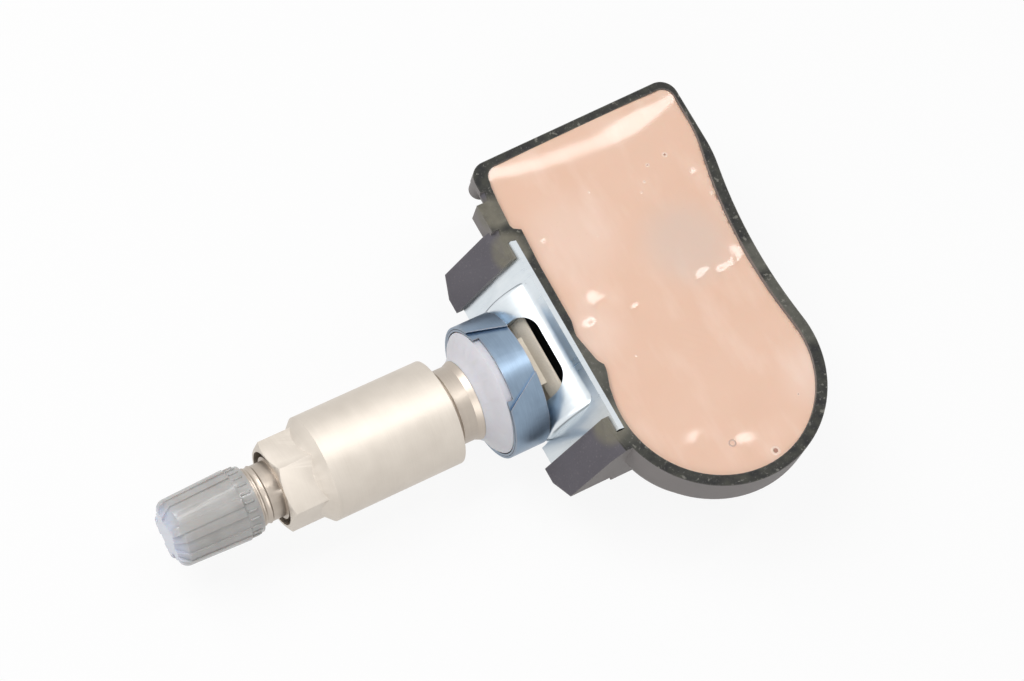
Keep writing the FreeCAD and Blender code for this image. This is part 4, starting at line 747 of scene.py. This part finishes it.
stem_mesh = merged_copy("valve_stem")
for place in GROOVE_PLACES:
    draw_ring(stem_mesh, place, GROOVE_HALF, GROOVE_LAYER, -GROOVE_DEPTH)
for number in range(THREAD_TURNS):
    draw_ring(stem_mesh, THREAD_START + THREAD_PITCH * number, CREST_HALF, CREST_LAYER,
              CREST_HEIGHT)
finish_piece(stem_mesh, "stem", "valve", stem_metal, ["valve_stem"], bevel=0.1)

# %% [markdown]
# ## Sleeve nut
#
# The nut is turned, milled to a hexagon and plated. Its edges are crisp but not sharp.

# %% Nut
finish_piece(merged_copy("sleeve_nut"), "long_nut", "nut", nickel, ["sleeve_nut"],
             bevel=0.16)

# %% [markdown]
# ## Dust cap
#
# The cap is moulded with narrow ribs. Round its skirt run fine ticks that help the fingers grip.
# Each tick is a small block, tapered by a bevel and turned into its place about the valve's axis.

# %% Cap and its ticks
TICK_COUNT = 24
TICK_SIZE = (1.3, 0.34, 0.3)
TICK_RADIUS = 4.62
TICK_PLACE = -32.9
TICK_TURN = 0.3
TICK_TAPER = 0.08


def add_ticks(mesh):
    """Stand tapered blocks on the cap's skirt."""
    outwards = Matrix.Translation(Vector((TICK_PLACE, 0, TICK_RADIUS)) * MM)
    block = Matrix.Diagonal(Vector(TICK_SIZE) * MM).to_4x4()
    for number in range(TICK_COUNT):
        angle = 2 * math.pi * (number + TICK_TURN) / TICK_COUNT
        place = Matrix.Rotation(angle, 4, "X") @ outwards @ block
        made = bmesh.ops.create_cube(mesh, size=1.0, matrix=place)
        edges = once(edge for vertex in made["verts"] for edge in vertex.link_edges)
        bmesh.ops.bevel(mesh, geom=edges, offset=TICK_TAPER * MM, segments=1, profile=0.5,
                        affect="EDGES", material=-1)


cap_mesh = merged_copy("valve_cap")
add_ticks(cap_mesh)
finish_piece(cap_mesh, "dust_cap", "cap", cap_plastic, ["valve_cap"], bevel=0.12)

# %% [markdown]
# ## Seal and its two-layer ring
#
# The rubber has a soft round on every edge. The ring and its split outer band are pressed from thin
# sheet: only a hair of a round, and a bright worn line along the edge, which the finish makes.

# %% Seal, ring and band
finish_piece(merged_copy("seal_grommet"), "rubber_seal", "valve", seal_rubber,
             ["seal_grommet"], bevel=0.25, segments=3)
finish_piece(merged_copy("retainer_ring"), "steel_ring", "valve", blue_steel,
             ["retainer_ring"], bevel=0.06)
finish_piece(merged_copy("lock_band"), "split_band", "valve", blue_steel,
             ["lock_band"], bevel=0.06)

# %% [markdown]
# ## Pressed bracket
#
# The bulge is drawn from flat sheet, so its ends run into its crown with a generous round that the
# solid leaves out. Those edges are picked by where they are: they lie at the bulge's two ends.

# %% Bracket
BULGE_HALF = 9.6
BULGE_LOW = -1.6
BULGE_SHARP = math.radians(40)
BULGE_ROUND = 0.8
BULGE_STEPS = 4
BULGE_SLACK = 0.02


def at_bulge_end(point):
    return abs(abs(point.y) / MM - BULGE_HALF) < BULGE_SLACK and point.z / MM > BULGE_LOW


def round_bulge(mesh):
    """Round the edges where the bulge's ends meet its crown."""
    mesh.normal_update()
    ends = [edge for edge in mesh.edges if edge.is_convex and edge.calc_face_angle(0) > BULGE_SHARP
            and all(at_bulge_end(vertex.co) for vertex in edge.verts)]
    bmesh.ops.bevel(mesh, geom=ends, offset=BULGE_ROUND * MM, segments=BULGE_STEPS, profile=0.5,
                    affect="EDGES", material=-1)
    print("rounded", len(ends), "edges of the bulge")


bracket_mesh = merged_copy("mounting_bracket")
round_bulge(bracket_mesh)
finish_piece(bracket_mesh, "bracket", "sensor", zinc, ["mounting_bracket"],
             bevel=0.1)

# %% [markdown]
# ## Sealing compound
#
# The resin creeps up the walls as it sets, so its skin is a shallow dish that rises most towards
# the squared end. Its upper face is cut into a fine grid, and each point is lifted or lowered by
# its distance from the wall, by a few dents and by a slow noise. The tilt of these slopes decides
# where the skin mirrors a lamp, which is what draws the bright crescent and the pale patches. A
# noise vector starts from the clock unless it is given a seed, so the seed is set first.

# %% Height of the skin
DISH = -0.40
DISH_CURVE = 0.0003
WALL_RISE = 0.06
WALL_REACH = 0.6
END_Y = 25.6
END_RISE = 0.50
END_REACH = 3.7
END_MIDDLE = 30.0
END_SPAN = 20.0
END_LEAST = 0.3
SLOW_WAVE = 0.05
SLOW_SIZE = 7.0
DENTS = ((41.2, -0.3, 1.5, 0.20), (38.4, -0.9, 0.9, 0.12), (35.3, -0.5, 0.8, 0.10),
         (18.2, -0.7, 1.6, 0.21), (20.4, 2.0, 1.5, 0.20), (24.4, -0.6, 0.7, 0.09),
         (41.9, 13.2, 0.9, 0.13), (18.1, 12.4, 1.1, 0.14), (28.2, -23.8, 1.0, 0.08),
         (22.5, -20.6, 1.8, 0.10))
DENT_WARP = 0.7
DENT_WARP_SIZE = 1.9
WARP_SEED = 1
noise.seed_set(WARP_SEED)


def skin_height(x, y, wall_distance):
    """Height of the skin in millimetres above the solid's flat top."""
    place = Vector((x, y, 0.0))
    height = DISH + DISH_CURVE * y ** 2 + WALL_RISE * math.exp(-wall_distance / WALL_REACH)
    share = max(END_LEAST, 1 - ((x - END_MIDDLE) / END_SPAN) ** 2)
    height += END_RISE * share * math.exp(-((END_Y - y) / (END_REACH * share)) ** 2)
    height += SLOW_WAVE * noise.noise(place / SLOW_SIZE)
    warped = place + noise.noise_vector(place / DENT_WARP_SIZE) * DENT_WARP
    for dent_x, dent_y, reach, depth in DENTS:
        away = (warped.x - dent_x) ** 2 + (warped.y - dent_y) ** 2
        height -= depth * math.exp(-away / reach ** 2)
    return height


print("the skin has", len(DENTS), "dents")

# %% [markdown]
# The grid follows the fill's outline, because planes cut only the upper face. A search tree over
# points along the shore finds how far each point of the grid is from the wall.

# %% Resin
FILL_TOP = 8.25
FILL_STEP = 0.45
SKIN_FACING = 0.9
SKIN_SLACK = 0.01
SHORE_STEP = 0.3


def is_skin(face):
    height = face.calc_center_median().z / MM
    return face.normal.z > SKIN_FACING and height > FILL_TOP - SKIN_SLACK


def points_along(edges, step):
    """Points at short steps along some edges."""
    found = []
    for edge in edges:
        start, end = edge.verts[0].co, edge.verts[1].co
        parts = max(1, math.ceil((end - start).length / (step * MM)))
        found += [start.lerp(end, number / parts) for number in range(parts)]
    return found


def shape_skin(mesh):
    """Cut the fill's upper face into a grid and give each point its height."""
    mesh.normal_update()
    skin = [face for face in mesh.faces if is_skin(face)]
    rim = [edge for edge in mesh.edges if sum(face in skin for face in edge.link_faces) == 1]
    shore = points_along(rim, SHORE_STEP)
    tree = KDTree(len(shore))
    for number, point in enumerate(shore):
        tree.insert(point, number)
    tree.balance()
    low, high = cad_box
    for axis in (0, 1):
        start = low[axis] / MM
        count = int((high[axis] / MM - start) / FILL_STEP)
        places = [start + FILL_STEP * number for number in range(1, count + 1)]
        slice_faces(mesh, is_skin, axis, places)
    top = {vertex for face in mesh.faces if is_skin(face) for vertex in face.verts}
    for vertex in top:
        distance = tree.find(vertex.co)[2] / MM
        vertex.co.z += skin_height(vertex.co.x / MM, vertex.co.y / MM, distance) * MM


fill_mesh = merged_copy("potting")
wave_left_wall(fill_mesh)
shape_skin(fill_mesh)
finish_piece(fill_mesh, "resin", "sensor", resin, ["potting"])

# %% [markdown]
# ## Hidden pieces
#
# The valve core and the electronics keep their solids and get a finish each.

# %% Finishes of the pieces inside
INSIDE = {
    "cap_seal": black_rubber, "core_body": brass, "core_gasket": black_rubber, "core_pin": brass,
    "core_seat_washer": black_rubber, "core_spring": spring_wire, "circuit_board": board_laminate,
    "battery": cell_can, "battery_tab_top": nickel_strip, "battery_tab_bottom": nickel_strip,
    "sensor_chip": chip_case, "ferrite_core": ferrite_case, "antenna_winding": copper_wire,
    "antenna_loop": copper_wire, "crystal": crystal_lid, "chip_capacitors": ceramic_chip,
    "port_gasket": black_rubber, "port_filter": membrane_cloth,
}
for node, material in INSIDE.items():
    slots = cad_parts[node].data.materials
    slots.clear()
    slots.append(material)
print("gave a finish to", len(INSIDE), "inner pieces")

# %% [markdown]
# ## Studio
#
# The photograph is a cut-out on pure white. The floor and the world are white to the camera and in
# reflections, where a strength of 1 is white, while the lamps light the object at a plain level.
# The floor is one square, so the object's soft shadow is all that shows of it.

# %% Floor
FLOOR_DROP = 0.3
FLOOR_SIZE = 1.5
FLOOR_GREY = 0.8
FLOOR_WHITE = 0.9
floor_height = cad_box[0][2] - FLOOR_DROP * MM
floor_mesh = bmesh.new()
bmesh.ops.create_grid(floor_mesh, x_segments=1, y_segments=1, size=FLOOR_SIZE,
                      matrix=Matrix.Translation((0, 0, floor_height)))
floor_data = bpy.data.meshes.new("floor")
floor_mesh.to_mesh(floor_data)
floor_mesh.free()
floor = bpy.data.objects.new("floor", floor_data)
bpy.context.scene.collection.objects.link(floor)


def make_backdrop():
    """Pale floor that turns white for the camera and for mirrors, and keeps a faint shadow."""
    finish = Finish("backdrop")
    path = finish.add("LightPath", output="Is Camera Ray")
    glossy = finish.add("LightPath", output="Is Glossy Ray")
    clear = finish.add("LightPath", output="Is Transmission Ray")
    seen = finish.add("Clamp", {}, {0: path + glossy + clear})
    glow = finish.add("Emission", {}, {"Color": (1, 1, 1, 1), "Strength": 1.0})
    grey = (FLOOR_GREY, FLOOR_GREY, FLOOR_GREY, 1)
    dull = finish.add("BsdfDiffuse", {}, {"Color": grey})
    blend = finish.add("MixShader", {}, {0: seen * FLOOR_WHITE, 1: dull, 2: glow})
    finish.tree.links.new(blend.socket, finish.tree.nodes["Material Output"].inputs["Surface"])
    return finish.material


floor.data.materials.append(make_backdrop())
print("floor at", round(floor_height / MM, 2), "mm")

# %% [markdown]
# A large soft box stands above and behind, and a weaker one fills the shadows on the cap's side. A
# strip box hangs where flat resin doesn't mirror it into the lens but resin that leans a few
# degrees does, so it picks out the slopes of the skin.

# %% Lamps
LAMPS = (
    ("key_box", (-0.25, 0.33, 0.60), (0.50, 0.50), 3.4),
    ("strip_box", (0.272, 0.054, 0.608), (0.068, 0.30), 0.60),
    ("fill_box", (-0.35, -0.40, 0.35), (0.40, 0.40), 1.1),
)
LAMP_AIM = Vector((25, 0, 8)) * MM
for name, place, size, power in LAMPS:
    lamp_data = bpy.data.lights.new(name, "AREA")
    lamp_data.shape = "RECTANGLE"
    lamp_data.size, lamp_data.size_y = size
    lamp_data.energy = power
    lamp = bpy.data.objects.new(name, lamp_data)
    lamp.location = place
    lamp.rotation_euler = (Vector(place) - LAMP_AIM).to_track_quat("Z", "Y").to_euler()
    bpy.context.scene.collection.objects.link(lamp)
print("lit by", len(LAMPS), "lamps")

# %% [markdown]
# The world is white where it is seen and gives a soft even light to everything else.

# %% World
AMBIENT = 0.34


def make_world():
    """White to the camera, to mirrors and through glass, and a soft even light otherwise."""
    studio = bpy.data.worlds.new("studio")
    studio.use_nodes = True
    nodes = studio.node_tree.nodes
    links = studio.node_tree.links
    path = nodes.new("ShaderNodeLightPath")
    seen = path.outputs["Is Camera Ray"]
    for ray in ("Is Glossy Ray", "Is Transmission Ray"):
        either = nodes.new("ShaderNodeMath")
        either.operation = "MAXIMUM"
        links.new(seen, either.inputs[0])
        links.new(path.outputs[ray], either.inputs[1])
        seen = either.outputs[0]
    strength = nodes.new("ShaderNodeMapRange")
    strength.inputs["To Min"].default_value = AMBIENT
    strength.inputs["To Max"].default_value = 1.0
    links.new(seen, strength.inputs["Value"])
    nodes["Background"].inputs["Color"].default_value = (1, 1, 1, 1)
    links.new(strength.outputs[0], nodes["Background"].inputs["Strength"])
    return studio


bpy.context.scene.world = make_world()
bpy.context.scene.view_settings.view_transform = "Standard"
print("the world gives", AMBIENT, "of its white as light")
